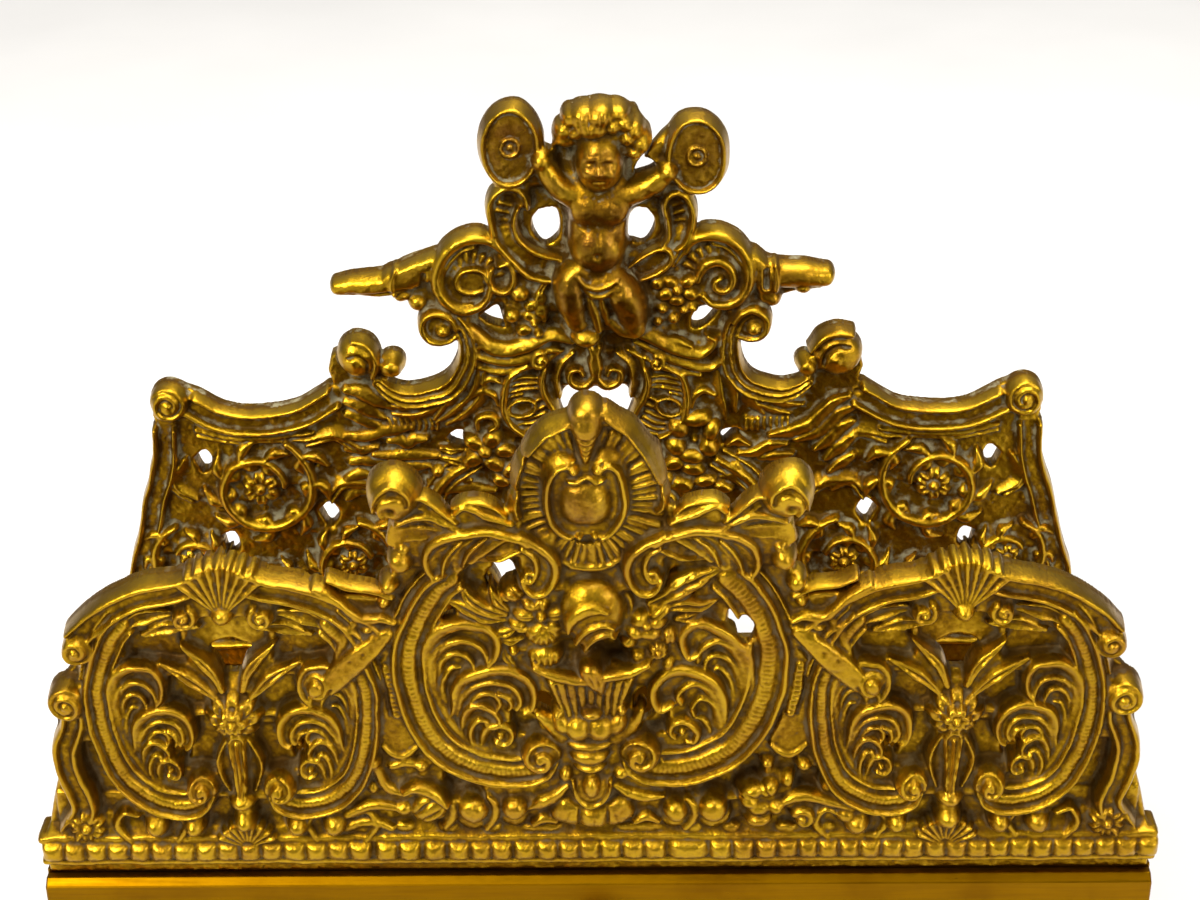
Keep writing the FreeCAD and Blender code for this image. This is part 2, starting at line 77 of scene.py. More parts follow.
def spline(p, step=0.3):
    """Even points along a smooth curve through p."""
    p = np.asarray(p, float)
    if len(p) == 2:
        q = p
    else:
        ext = np.vstack([2 * p[0] - p[1], p, 2 * p[-1] - p[-2]])
        out = []
        for i in range(1, len(ext) - 2):
            p0, p1, p2, p3 = ext[i - 1], ext[i], ext[i + 1], ext[i + 2]
            t0 = 0.0
            t1 = t0 + max(np.linalg.norm(p1 - p0), 1e-6) ** 0.5
            t2 = t1 + max(np.linalg.norm(p2 - p1), 1e-6) ** 0.5
            t3 = t2 + max(np.linalg.norm(p3 - p2), 1e-6) ** 0.5
            t = np.linspace(t1, t2, 14)[:-1, None]
            a1 = (t1 - t) / (t1 - t0) * p0 + (t - t0) / (t1 - t0) * p1
            a2 = (t2 - t) / (t2 - t1) * p1 + (t - t1) / (t2 - t1) * p2
            a3 = (t3 - t) / (t3 - t2) * p2 + (t - t2) / (t3 - t2) * p3
            b1 = (t2 - t) / (t2 - t0) * a1 + (t - t0) / (t2 - t0) * a2
            b2 = (t3 - t) / (t3 - t1) * a2 + (t - t1) / (t3 - t1) * a3
            out.append((t2 - t) / (t2 - t1) * b1 + (t - t1) / (t2 - t1) * b2)
        q = np.vstack(out + [p[-1:]])
    seg = np.linalg.norm(np.diff(q, axis=0), axis=1)
    arc = np.concatenate([[0.0], np.cumsum(seg)])
    n = max(int(arc[-1] / step) + 1, 3)
    s = np.linspace(0, arc[-1], n)
    return np.stack([np.interp(s, arc, q[:, 0]), np.interp(s, arc, q[:, 1])], 1)


def blur(a, sig):
    """Gaussian blur, sigma in cells."""
    r = max(int(3 * sig + 0.5), 1)
    k = np.exp(-0.5 * (np.arange(-r, r + 1) / sig) ** 2)
    k /= k.sum()
    for axis in (0, 1):
        b = np.pad(a, [(r, r) if i == axis else (0, 0) for i in (0, 1)], mode="edge")
        o = np.zeros_like(a)
        n = a.shape[axis]
        for i, w in enumerate(k):
            o += w * (b[i:i + n] if axis == 0 else b[:, i:i + n])
        a = o
    return a


def spread(a, r, pick):
    """Largest (or smallest) value within r cells."""
    for axis in (0, 1):
        b = np.pad(a, [(r, r) if i == axis else (0, 0) for i in (0, 1)], mode="edge")
        n = a.shape[axis]
        o = a.copy()
        for i in range(2 * r + 1):
            o = pick(o, b[i:i + n] if axis == 0 else b[:, i:i + n])
        a = o
    return a


def lumps(rng, nz, nx, cells):
    """Smooth noise with about unit spread, one lump per so many cells."""
    iz, ix = np.arange(nz) / cells, np.arange(nx) / cells
    n = rng.standard_normal((int(iz[-1]) + 3, int(ix[-1]) + 3))
    a, b = iz.astype(int), ix.astype(int)
    fz, fx = (iz - a)[:, None], (ix - b)[None, :]
    fz, fx = fz * fz * (3 - 2 * fz), fx * fx * (3 - 2 * fx)
    return (n[a][:, b] * (1 - fz) * (1 - fx) + n[a + 1][:, b] * fz * (1 - fx)
            + n[a][:, b + 1] * (1 - fz) * fx + n[a + 1][:, b + 1] * fz * fx)


def profile(name, a, ell, w):
    b = np.minimum(np.abs(a), 1.0)
    if name == "round":
        return np.sqrt(1.0 - b ** 2.3)
    if name == "flat":
        return np.sqrt(np.maximum(1.0 - b ** 5, 0.0))
    if name == "ridge":
        return (1.0 - b) ** 0.9
    if name == "hollow":
        return np.sqrt(1.0 - b ** 8) * (0.5 + 0.5 * b ** 1.8)
    if name == "leaf":
        return np.sqrt(1.0 - b ** 2.6) * (1.0 - 0.4 * np.exp(-(a / 0.2) ** 2))
    if name == "fold":
        return np.sqrt(1.0 - b ** 6) * (0.58 + 0.42 * np.clip(a, -1, 1))
    if name == "foldr":
        return np.sqrt(1.0 - b ** 6) * (0.58 - 0.42 * np.clip(a, -1, 1))
    if name == "lobe":
        return np.sqrt(1.0 - b ** 3.2) * (0.8 + 0.2 * np.clip(a, -1, 1))
    if name == "lober":
        return np.sqrt(1.0 - b ** 3.2) * (0.8 - 0.2 * np.clip(a, -1, 1))
    if name == "reed3":
        return np.sqrt(1.0 - b ** 4) * (0.68 + 0.32 * np.cos(a * 3.0 * math.pi))
    if name == "reed5":
        return np.sqrt(1.0 - b ** 4) * (0.74 + 0.26 * np.cos(a * 5.0 * math.pi))
    raise ValueError(name)


class Relief:
    """A casting as heights above its back plane, h over x and z, with the outline held as a signed distance."""

    def __init__(s, y_back, x0, x1, z0, z1):
        s.yb, s.c = y_back, CELL
        s.nx, s.nz = int((x1 - x0) / CELL) + 1, int((z1 - z0) / CELL) + 1
        s.x = x0 + np.arange(s.nx) * CELL
        s.z = z0 + np.arange(s.nz) * CELL
        s.H = np.full((s.nz, s.nx), -6.0)
        s.M = np.full((s.nz, s.nx), -6.0)
        s.B = np.zeros((s.nz, s.nx))
        s.T = np.zeros((s.nz, s.nx))
        s.places = [None]
        # slight unevenness of hand-cut patterns
        rng = np.random.default_rng(5)
        s.wx = 0.13 * lumps(rng, s.nz, s.nx, 5.0 / CELL)
        s.wz = 0.13 * lumps(rng, s.nz, s.nx, 5.0 / CELL)

    def px(s, pts, h):
        return on_plane(pts, s.yb - h)

    def copies(s, p, m):
        """The given points at every place they are wanted: (points, hand, width scale)."""
        for place in s.places:
            for side in ((1,) if m == 0 else (-1,) if m == -1 else (1, -1)):
                q = p * np.array([side, 1.0])
                if place is None:
                    yield q, side, 1.0
                else:
                    kx, kz, z_from, dx, dz, kw, g = place
                    r = np.stack([(q[:, 0] * kx + dx) * g, (q[:, 1] - z_from) * kz + dz], 1)
                    yield r, side * g, kw

    def window(s, x0, x1, z0, z1):
        i0 = max(int((x0 - s.x[0]) / s.c), 0)
        i1 = min(int((x1 - s.x[0]) / s.c) + 2, s.nx)
        k0 = max(int((z0 - s.z[0]) / s.c), 0)
        k1 = min(int((z1 - s.z[0]) / s.c) + 2, s.nz)
        if i1 <= i0 or k1 <= k0:
            return None
        return slice(k0, k1), slice(i0, i1)

    def near(s, p, margin):
        win = s.window(p[:, 0].min() - margin, p[:, 0].max() + margin, p[:, 1].min() - margin, p[:, 1].max() + margin)
        if win is None:
            return None
        X, Z = np.meshgrid(s.x[win[1]], s.z[win[0]])
        X, Z = X + s.wx[win], Z + s.wz[win]
        shape = X.shape
        qx, qz = X.ravel(), Z.ravel()
        n = len(p)
        tan = np.gradient(p, axis=0)
        tan /= np.maximum(np.linalg.norm(tan, axis=1, keepdims=True), 1e-9)
        arc = np.concatenate([[0.0], np.cumsum(np.linalg.norm(np.diff(p, axis=0), axis=1))])
        # coarse pass keeps only the grid points near the line
        few = p[:: max(n // 24, 1)]
        gap = (arc[-1] / max(len(few) - 1, 1)) * 0.6 + margin
        keep = np.zeros(len(qx), bool)
        for fx, fz in few:
            keep |= (qx - fx) ** 2 + (qz - fz) ** 2 < gap * gap
        keep |= (qx - p[-1, 0]) ** 2 + (qz - p[-1, 1]) ** 2 < gap * gap
        ids = np.nonzero(keep)[0]
        d = np.full(len(qx), 1e3)
        lat = np.zeros(len(qx))
        ell = np.zeros(len(qx))
        step = max(1, 2000000 // n)
        for c0 in range(0, len(ids), step):
            ix = ids[c0:c0 + step]
            dx = qx[ix, None] - p[None, :, 0]
            dz = qz[ix, None] - p[None, :, 1]
            bi = np.argmin(dx * dx + dz * dz, axis=1)
            rows = np.arange(len(ix))
            vx, vz = dx[rows, bi], dz[rows, bi]
            lo = vx * tan[bi, 0] + vz * tan[bi, 1]
            la = -vx * tan[bi, 1] + vz * tan[bi, 0]
            end = ((bi == 0) & (lo < 0)) | ((bi == n - 1) & (lo > 0))
            lat[ix] = la
            d[ix] = np.where(end, np.hypot(vx, vz), np.abs(la))
            ell[ix] = arc[bi] + np.where(end, 0.0, lo)
        return win, d.reshape(shape), lat.reshape(shape), ell.reshape(shape), arc[-1]

    def put(s, win, h, m, k, grow):
        s.H[win] = smax(s.H[win], h, k)
        if grow is not None:
            s.M[win] = smax(s.M[win], m + grow, 0.4)

    def line(s, pts, w, top, edge=None, prof="round", m=1, rib=None, k=0.55, grow=0.1, off=0.0, mm=False, hh=None,
             cut=False, slope=2.8):
        """A raised (or cut) stroke. w: half width, top: height of its crest, edge: height of its sides."""
        w0 = np.atleast_1d(np.asarray(w, float))
        top = np.atleast_1d(np.asarray(top, float))
        h0 = float(top.mean()) if hh is None else hh
        p = np.asarray(pts, float) if mm else s.px(pts, h0)
        p = spline(p)
        if off:
            t = np.gradient(p, axis=0)
            t /= np.maximum(np.linalg.norm(t, axis=1, keepdims=True), 1e-9)
            p = p + off * np.stack([-t[:, 1], t[:, 0]], 1)
        for q, hand, kw in s.copies(p, m):
            w = w0 * kw
            margin = float(w.max()) + (0.6 if cut else 2.2)
            got = s.near(q, margin)
            if got is None:
                continue
            win, d, lat, ell, length = got
            t = np.clip(ell / max(length, 1e-6), 0, 1)
            ww = np.interp(t, np.linspace(0, 1, len(w)), w) if len(w) > 1 else np.full_like(t, w[0])
            tt = np.interp(t, np.linspace(0, 1, len(top)), top) if len(top) > 1 else np.full_like(t, top[0])
            ww = np.maximum(ww, 0.05)
            a = np.clip(np.sign(lat) * hand * d / ww, -1, 1)
            f = profile(prof, a, ell, ww)
            if cut:
                s.H[win] = s.H[win] - np.where(d < ww, tt * f, 0.0)
                continue
            e = np.atleast_1d(np.asarray(tt - 2.0 * ww if edge is None else edge, float))
            if e.ndim == 1 and len(e) > 1:
                e = np.interp(t, np.linspace(0, 1, len(e)), e)
            if rib:
                pitch, amp = rib[0] * kw, rib[1]
                slant = rib[2] if len(rib) > 2 else 0.0
                ph = ell / pitch + np.abs(a) * slant
                tt = tt - amp * (0.5 + 0.5 * np.cos(2 * math.pi * ph)) * np.clip(1.3 * (1 - np.abs(a)) + 0.25, 0, 1)
            h = np.where(d <= ww, e + (tt - e) * f, e - slope * (d - ww))
            s.put(win, h, ww - d, k, grow)

    def local(s, c, m, rx, rz, rot, reach, pad):
        """Grid windows round a centre with coordinates turned into its axes."""
        for q, hand, kw in s.copies(c, m):
            cx, cz = q[0]
            r = reach * max(rx, rz) * kw + pad
            win = s.window(cx - r, cx + r, cz - r, cz + r)
            if win is None:
                continue
            X, Z = np.meshgrid(s.x[win[1]] - cx, s.z[win[0]] - cz)
            X, Z = X + s.wx[win], Z + s.wz[win]
            ca, sa = math.cos(rot * hand), math.sin(rot * hand)
            yield win, (ca * X + sa * Z) / kw, (-sa * X + ca * Z) / kw, kw

    def dome(s, c, rx, rz, top, edge, rot=0.0, p=2.0, n=2.0, m=1, k=0.55, grow=0.1, mm=False, slope=2.8, hh=None):
        """Rounded boss; p above 2 flattens its face, n above 2 squares its outline."""
        c = np.asarray([c], float)
        c = c if mm else s.px(c, top if hh is None else hh)
        for win, u, v, kw in s.local(c, m, rx, rz, rot, 1.0, 2.4):
            q = (np.abs(u / rx) ** n + np.abs(v / rz) ** n) ** (1.0 / n)
            g = np.hypot(u / rx ** 2, v / rz ** 2) / np.maximum(np.hypot(u / rx, v / rz), 1e-6)
            dist = (q - 1.0) / np.maximum(g, 1e-6) * kw
            f = np.sqrt(np.maximum(1.0 - np.minimum(q, 1.0) ** p, 0.0))
            h = np.where(q <= 1, edge + (top - edge) * f, edge - slope * np.maximum(dist, 0))
            s.put(win, h, -dist, k, grow)

    def lift(s, c, rx, rz, amount, rot=0.0, m=1, mm=False, hh=10.0):
        """Soft swelling or hollow added to what is there."""
        c = np.asarray([c], float)
        c = c if mm else s.px(c, hh)
        for win, u, v, kw in s.local(c, m, rx, rz, rot, 2.6, 0.0):
            s.H[win] += amount * np.exp(-((u / rx) ** 2 + (v / rz) ** 2))

    def stain(s, c, rx, rz, amount, rot=0.0, m=0, mm=False, hh=10.0):
        """Marks a patch for darker, redder metal."""
        c = np.asarray([c], float)
        c = c if mm else s.px(c, hh)
        for win, u, v, kw in s.local(c, m, rx, rz, rot, 2.0, 0.0):
            s.T[win] = np.maximum(s.T[win], amount * np.exp(-((u / rx) ** 2 + (v / rz) ** 2) ** 2))

    def sdpoly(s, p):
        """Signed distance to a closed outline (mm), positive inside."""
        win = s.window(p[:, 0].min() - 4, p[:, 0].max() + 4, p[:, 1].min() - 4, p[:, 1].max() + 4)
        X, Z = np.meshgrid(s.x[win[1]], s.z[win[0]])
        best = np.full(X.shape, 1e6)
        inside = np.zeros(X.shape, bool)
        n = len(p)
        for i in range(n):
            ax, az = p[i]
            bx, bz = p[(i + 1) % n]
            ex, ez = bx - ax, bz - az
            wx, wz = X - ax, Z - az
            t = np.clip((wx * ex + wz * ez) / max(ex * ex + ez * ez, 1e-9), 0, 1)
            best = np.minimum(best, (wx - ex * t) ** 2 + (wz - ez * t) ** 2)
            hit = ((az <= Z) & (bz > Z)) | ((bz <= Z) & (az > Z))
            xs = ax + (Z - az) / (bz - az if abs(bz - az) > 1e-9 else 1e-9) * ex
            inside ^= hit & (X < xs)
        return win, np.where(inside, 1.0, -1.0) * np.sqrt(best)

    def web(s, pts, top, m=1, mm=False, smooth=True, grow=0.0, k=0.3):
        """Flat ground inside an outline."""
        p = np.asarray(pts, float) if mm else s.px(pts, top)
        for q, hand, kw in s.copies(p, m):
            if smooth:
                q = spline(np.vstack([q, q[:1]]), 1.2)[:-1]
            win, sd = s.sdpoly(q)
            h = np.where(sd > 0, top, top + 2.5 * sd)
            s.put(win, h, sd, k, grow)

    def hole(s, pts, m=1, mm=False, h=4.0, round_=0.6):
        p = np.asarray(pts, float) if mm else s.px(pts, h)
        for q, hand, kw in s.copies(p, m):
            q = spline(np.vstack([q, q[:1]]), 0.8)[:-1]
            win, sd = s.sdpoly(q)
            s.M[win] = -smax(-s.M[win], sd, round_)

    def behind(s, c, rx, rz, h, m=1, mm=False, hh=None):
        """Sets the back of the casting forward by h around c."""
        c = np.asarray([c], float)
        c = c if mm else s.px(c, h if hh is None else hh)
        for win, u, v, kw in s.local(c, m, rx, rz, 0.0, 1.6, 0.0):
            q = np.clip((1.5 - np.sqrt((u / rx) ** 2 + (v / rz) ** 2)) / 0.5, 0, 1)
            s.B[win] = np.maximum(s.B[win], h * q * q * (3 - 2 * q))

    # ---- ornament built from strokes
    def at(s, c, top, mm):
        cc = np.asarray([c], float)
        return cc[0] if mm else s.px(cc, top)[0]

    def roll(s, c, r, top, edge, turns=1.4, a0=90.0, cw=1, m=1, depth=1.1, mm=False, width=0.42, p=7.0, rz=None):
        """A rolled scroll end: a boss with a spiral cut into its face."""
        rz = r if rz is None else rz
        s.dome(c, r, rz, top, edge, p=p, m=m, mm=mm)
        cc = s.at(c, top, mm)
        th = np.linspace(0, turns * 2 * math.pi, 40)
        rad = np.linspace(0.86, 0.2, 40)
        ang = math.radians(a0) - cw * th
        path = np.stack([cc[0] + r * rad * np.cos(ang), cc[1] + rz * rad * np.sin(ang)], 1)
        s.line(path, [width, width * 1.15, width], [depth * 0.7, depth, depth * 0.8], m=m, mm=True, cut=True)
        s.dome((cc[0], cc[1]), r * 0.2, rz * 0.2, top + 0.5, top - 0.8, m=m, mm=True, grow=None)

    def curl(s, c, r, turns, a0, cw, w, top, edge, m=1, mm=False, prof="round", grow=0.1, r_end=0.25, bead=True):
        """A raised spiral with a bead at its eye."""
        w = np.atleast_1d(w)
        top = np.atleast_1d(top)
        cc = s.at(c, float(top.mean()), mm)
        th = np.linspace(0, turns * 2 * math.pi, 48)
        rad = np.linspace(1.0, r_end, 48) * r
        ang = math.radians(a0) - cw * th
        path = np.stack([cc[0] + rad * np.cos(ang), cc[1] + rad * np.sin(ang)], 1)
        s.line(path, w, top, edge, prof, m=m, mm=True, grow=grow)
        if bead:
            s.dome((cc[0], cc[1]), r * 0.3, r * 0.3, float(top[-1]) + 0.6, float(top[-1]) - 2.0, m=m, mm=True, grow=grow)

    def flower(s, c, r, top, edge, n=5, a0=90.0, m=1, mm=False, eye=0.28):
        cc = s.at(c, top, mm)
        s.dome((cc[0], cc[1]), r * 0.9, r * 0.9, edge + 0.4 * (top - edge), edge - 1.0, m=m, mm=True)
        for i in range(n):
            a = math.radians(a0) + i * 2 * math.pi / n
            x, z = cc[0] + 0.62 * r * math.cos(a), cc[1] + 0.62 * r * math.sin(a)
            s.dome((x, z), 0.46 * r, 2.1 * r / n, top, edge, rot=a, m=m, mm=True, p=2.4)
            b = np.array([[cc[0] + 0.3 * r * math.cos(a), cc[1] + 0.3 * r * math.sin(a)],
                          [cc[0] + 0.95 * r * math.cos(a), cc[1] + 0.95 * r * math.sin(a)]])
            s.line(b, [0.12 * r, 0.16 * r], 0.3 * (top - edge), m=m, mm=True, cut=True)
        s.dome((cc[0], cc[1]), eye * r, eye * r, top + 0.5, top - 1.2, m=m, mm=True)

    def fan(s, c, r0, r1, a0, a1, n, top, edge, m=1, mm=False, fill=0.95):
        """Ribs spreading from a point, as on a shell."""
        cc = s.at(c, float(np.mean(top)), mm)
        for i in range(n):
            a = math.radians(a0 + (a1 - a0) * (i + 0.5) / n)
            p = np.array([[cc[0] + r0 * math.cos(a), cc[1] + r0 * math.sin(a)],
                          [cc[0] + r1 * math.cos(a), cc[1] + r1 * math.sin(a)]])
            ww = abs(math.radians(a1 - a0)) / n * 0.5
            s.line(p, [max(ww * r0 * fill, 0.15), ww * r1 * fill], top, edge, m=m, mm=True)

    def cuts(s, lines, w, depth, hh, m=1):
        for pts in lines:
            s.line(pts, [w * 0.6, w, w * 0.6], [depth * 0.5, depth, depth * 0.5], cut=True, hh=hh, m=m)

    # ---- mesh
    def finish(s, seed, gauge, rough=1.0, edge_r=0.9):
        rng = np.random.default_rng(seed)
        H, M = s.H, s.M
        # narrow gaps are only so deep in a casting
        r = int(1.7 / s.c + 0.5)
        level = spread(spread(H, r, np.maximum), r, np.minimum)
        H = smax(H, blur(level, 0.35 / s.c) - 1.8, 1.0)
        r = int(0.65 / s.c + 0.5)
        level = spread(spread(H, r, np.maximum), r, np.minimum)
        H = smax(H, blur(level, 0.2 / s.c) - 0.85, 0.5)
        # soft arris along the outline
        e = np.clip(M, 0.0, edge_r)
        H = H - 0.75 * (edge_r - np.sqrt(np.maximum(edge_r ** 2 - (edge_r - e) ** 2, 0.0)))
        H = np.maximum(H, 2.4)
        H = blur(H, 0.16 / s.c)
        for scale, amp in ((2.4, 0.08), (1.0, 0.06), (0.5, 0.04)):
            H = H + rough * amp * lumps(rng, s.nz, s.nx, scale / s.c)
        s.H = H
        inside = M > 0
        # the back follows the front at about the gauge of the casting, flat near the foot
        w = inside.astype(float)
        sig = 1.3 / s.c
        mean = blur(H * w, sig) / np.maximum(blur(w, sig), 1e-3)
        up = np.clip((s.z - 52.0) / 6.0, 0, 1)[:, None]
        auto = np.clip(mean - gauge, 0.0, 7.5) * up * up * (3 - 2 * up)
        s.back = np.maximum(np.minimum(np.maximum(auto, s.B), H - 2.4), 0.0)
        fill = np.where(inside, H, 3.0)
        # hollows at a fine and a broad scale, later used for grime and for painted shade
        s.cav = np.clip((blur(fill, 0.55 / s.c) - fill) / 0.42, -1, 1)
        s.deep = np.clip((blur(fill, 2.4 / s.c) - fill) / 2.4, -1, 1)

    def mesh(s, name):
        M, c = s.M, s.c
        mean = 0.25 * (M[:-1, :-1] + M[1:, :-1] + M[:-1, 1:] + M[1:, 1:])
        cell = mean > 0
        # a cell that touches its neighbours only at corners is left out
        nb = np.zeros(cell.shape, int)
        nb[1:] += cell[:-1]; nb[:-1] += cell[1:]
        nb[:, 1:] += cell[:, :-1]; nb[:, :-1] += cell[:, 1:]
        cell &= nb >= 2
        used = np.zeros(M.shape, bool)
        used[:-1, :-1] |= cell; used[1:, :-1] |= cell; used[:-1, 1:] |= cell; used[1:, 1:] |= cell
        ids = np.full(M.shape, -1)
        kz, kx = np.nonzero(used)
        n = len(kz)
        ids[kz, kx] = np.arange(n)
        X, Z = s.x[kx].copy(), s.z[kz].copy()
        full = np.zeros((M.shape[0] + 1, M.shape[1] + 1), int)
        full[1:-1, 1:-1] = cell
        around = full[:-1, :-1] + full[1:, :-1] + full[:-1, 1:] + full[1:, 1:]
        rim = around[kz, kx] < 4
        # vertices of the outline are drawn onto it, and take their heights from there
        gz, gx = np.gradient(M, c)

        def at(arr, x, z):
            ix = np.clip((x - s.x[0]) / c, 0, s.nx - 1.001)
            iz = np.clip((z - s.z[0]) / c, 0, s.nz - 1.001)
            i, k = ix.astype(int), iz.astype(int)
            fx, fz = ix - i, iz - k
            return (arr[k, i] * (1 - fx) * (1 - fz) + arr[k, i + 1] * fx * (1 - fz)
                    + arr[k + 1, i] * (1 - fx) * fz + arr[k + 1, i + 1] * fx * fz)
        xr, zr = X[rim].copy(), Z[rim].copy()
        for _ in range(3):
            mr, ar, br = at(M, xr, zr), at(gx, xr, zr), at(gz, xr, zr)
            st = np.clip(mr / np.maximum(ar * ar + br * br, 0.25), -c, c)
            xr, zr = xr - st * ar, zr - st * br
        dx, dz = xr - X[rim], zr - Z[rim]
        far = np.maximum(np.hypot(dx, dz) / (0.95 * c), 1.0)
        X[rim] += dx / far
        Z[rim] += dz / far
        Z = np.maximum(Z, s.z[0])
        front = np.stack([X, s.yb - at(s.H, X, Z), Z], 1)
        backv = np.stack([X, s.yb - at(s.back, X, Z), Z], 1)
        co = np.vstack([front, backv]) * 0.001
        cz, cx = np.nonzero(cell)
        a, b, d, e = ids[cz, cx], ids[cz, cx + 1], ids[cz + 1, cx + 1], ids[cz + 1, cx]
        quads = [np.stack([a, b, d, e], 1), np.stack([a, e, d, b], 1) + n]
        pad = np.pad(cell, 1)
        for dz, dx, v0, v1 in ((-1, 0, a, b), (0, 1, b, d), (1, 0, d, e), (0, -1, e, a)):
            open_ = ~pad[cz + 1 + dz, cx + 1 + dx]
            quads.append(np.stack([v1[open_], v0[open_], v0[open_] + n, v1[open_] + n], 1))
        f = np.vstack(quads)
        me = bpy.data.meshes.new(name)
        me.vertices.add(len(co))
        me.vertices.foreach_set("co", co.astype(np.float32).ravel())
        me.loops.add(f.size)
        me.loops.foreach_set("vertex_index", f.astype(np.int32).ravel())
        me.polygons.add(len(f))
        me.polygons.foreach_set("loop_start", np.arange(0, f.size, 4, dtype=np.int32))
        me.update(calc_edges=True)
        ob = bpy.data.objects.new(name, me)
        bpy.context.scene.collection.objects.link(ob)
        tris = 2 * len(f)
        soft = ob.modifiers.new("soft", "SMOOTH")
        soft.factor, soft.iterations = 0.5, 2
        if tris > FACES:
            mod = ob.modifiers.new("thin", "DECIMATE")
            mod.ratio = FACES / tris
            dg = bpy.context.evaluated_depsgraph_get()
            done = bpy.data.meshes.new_from_object(ob.evaluated_get(dg))
            ob.modifiers.clear()
            old, ob.data = ob.data, done
            bpy.data.meshes.remove(old)
            ob.data.name = name
        me = ob.data
        # hollow depth at two scales and how far each point faces sideways, read from the relief itself; the material
        # turns these into grime and into painted shade and painted highlight
        v = np.empty(len(me.vertices) * 3, np.float32)
        me.vertices.foreach_get("co", v)
        v = v.reshape(-1, 3) * 1000.0
        nrm = np.empty(len(me.vertices) * 3, np.float32)
        me.vertices.foreach_get("normal", nrm)
        nrm = nrm.reshape(-1, 3)
        ix = np.clip((v[:, 0] - s.x[0]) / c, 0, s.nx - 1.001)
        iz = np.clip((v[:, 2] - s.z[0]) / c, 0, s.nz - 1.001)
        i, k = ix.astype(int), iz.astype(int)
        fx, fz = ix - i, iz - k

        def read(arr):
            return (arr[k, i] * (1 - fx) * (1 - fz) + arr[k, i + 1] * fx * (1 - fz)
                    + arr[k + 1, i] * (1 - fx) * fz + arr[k + 1, i + 1] * fx * fz)
        cav, deep = read(s.cav), read(s.deep)
        h = s.yb - v[:, 1]
        frontish = h > 0.5 * read(s.H)
        side = 1.0 - np.abs(nrm[:, 1])
        cav = np.where(frontish, cav, 0.1)
        deep = np.where(frontish, deep, 0.15)
        col = np.stack([np.clip(0.5 + 0.5 * cav, 0, 1), np.clip(0.5 + 0.5 * deep, 0, 1), np.clip(side, 0, 1),
                        np.ones(len(v))], 1)
        at = me.attributes.new("hollows_for_grime_and_shade", "FLOAT_COLOR", "POINT")
        at.data.foreach_set("color", col.astype(np.float32).ravel())
        at = me.attributes.new("stain", "FLOAT", "POINT")
        at.data.foreach_set("value", np.where(frontish, read(s.T), 0.0).astype(np.float32))
        me.polygons.foreach_set("use_smooth", np.ones(len(me.polygons), bool))
        me.set_sharp_from_angle(angle=math.radians(62))
        return ob


def full(half):
    return list(half) + [(-x, z) for x, z in reversed(half) if x != 0.0]


def ellipse(cx, cz, rx, rz, a0=0.0, a1=360.0, n=40):
    t = np.radians(np.linspace(a0, a1, n))
    return np.stack([cx + rx * np.cos(t), cz + rz * np.sin(t)], 1)


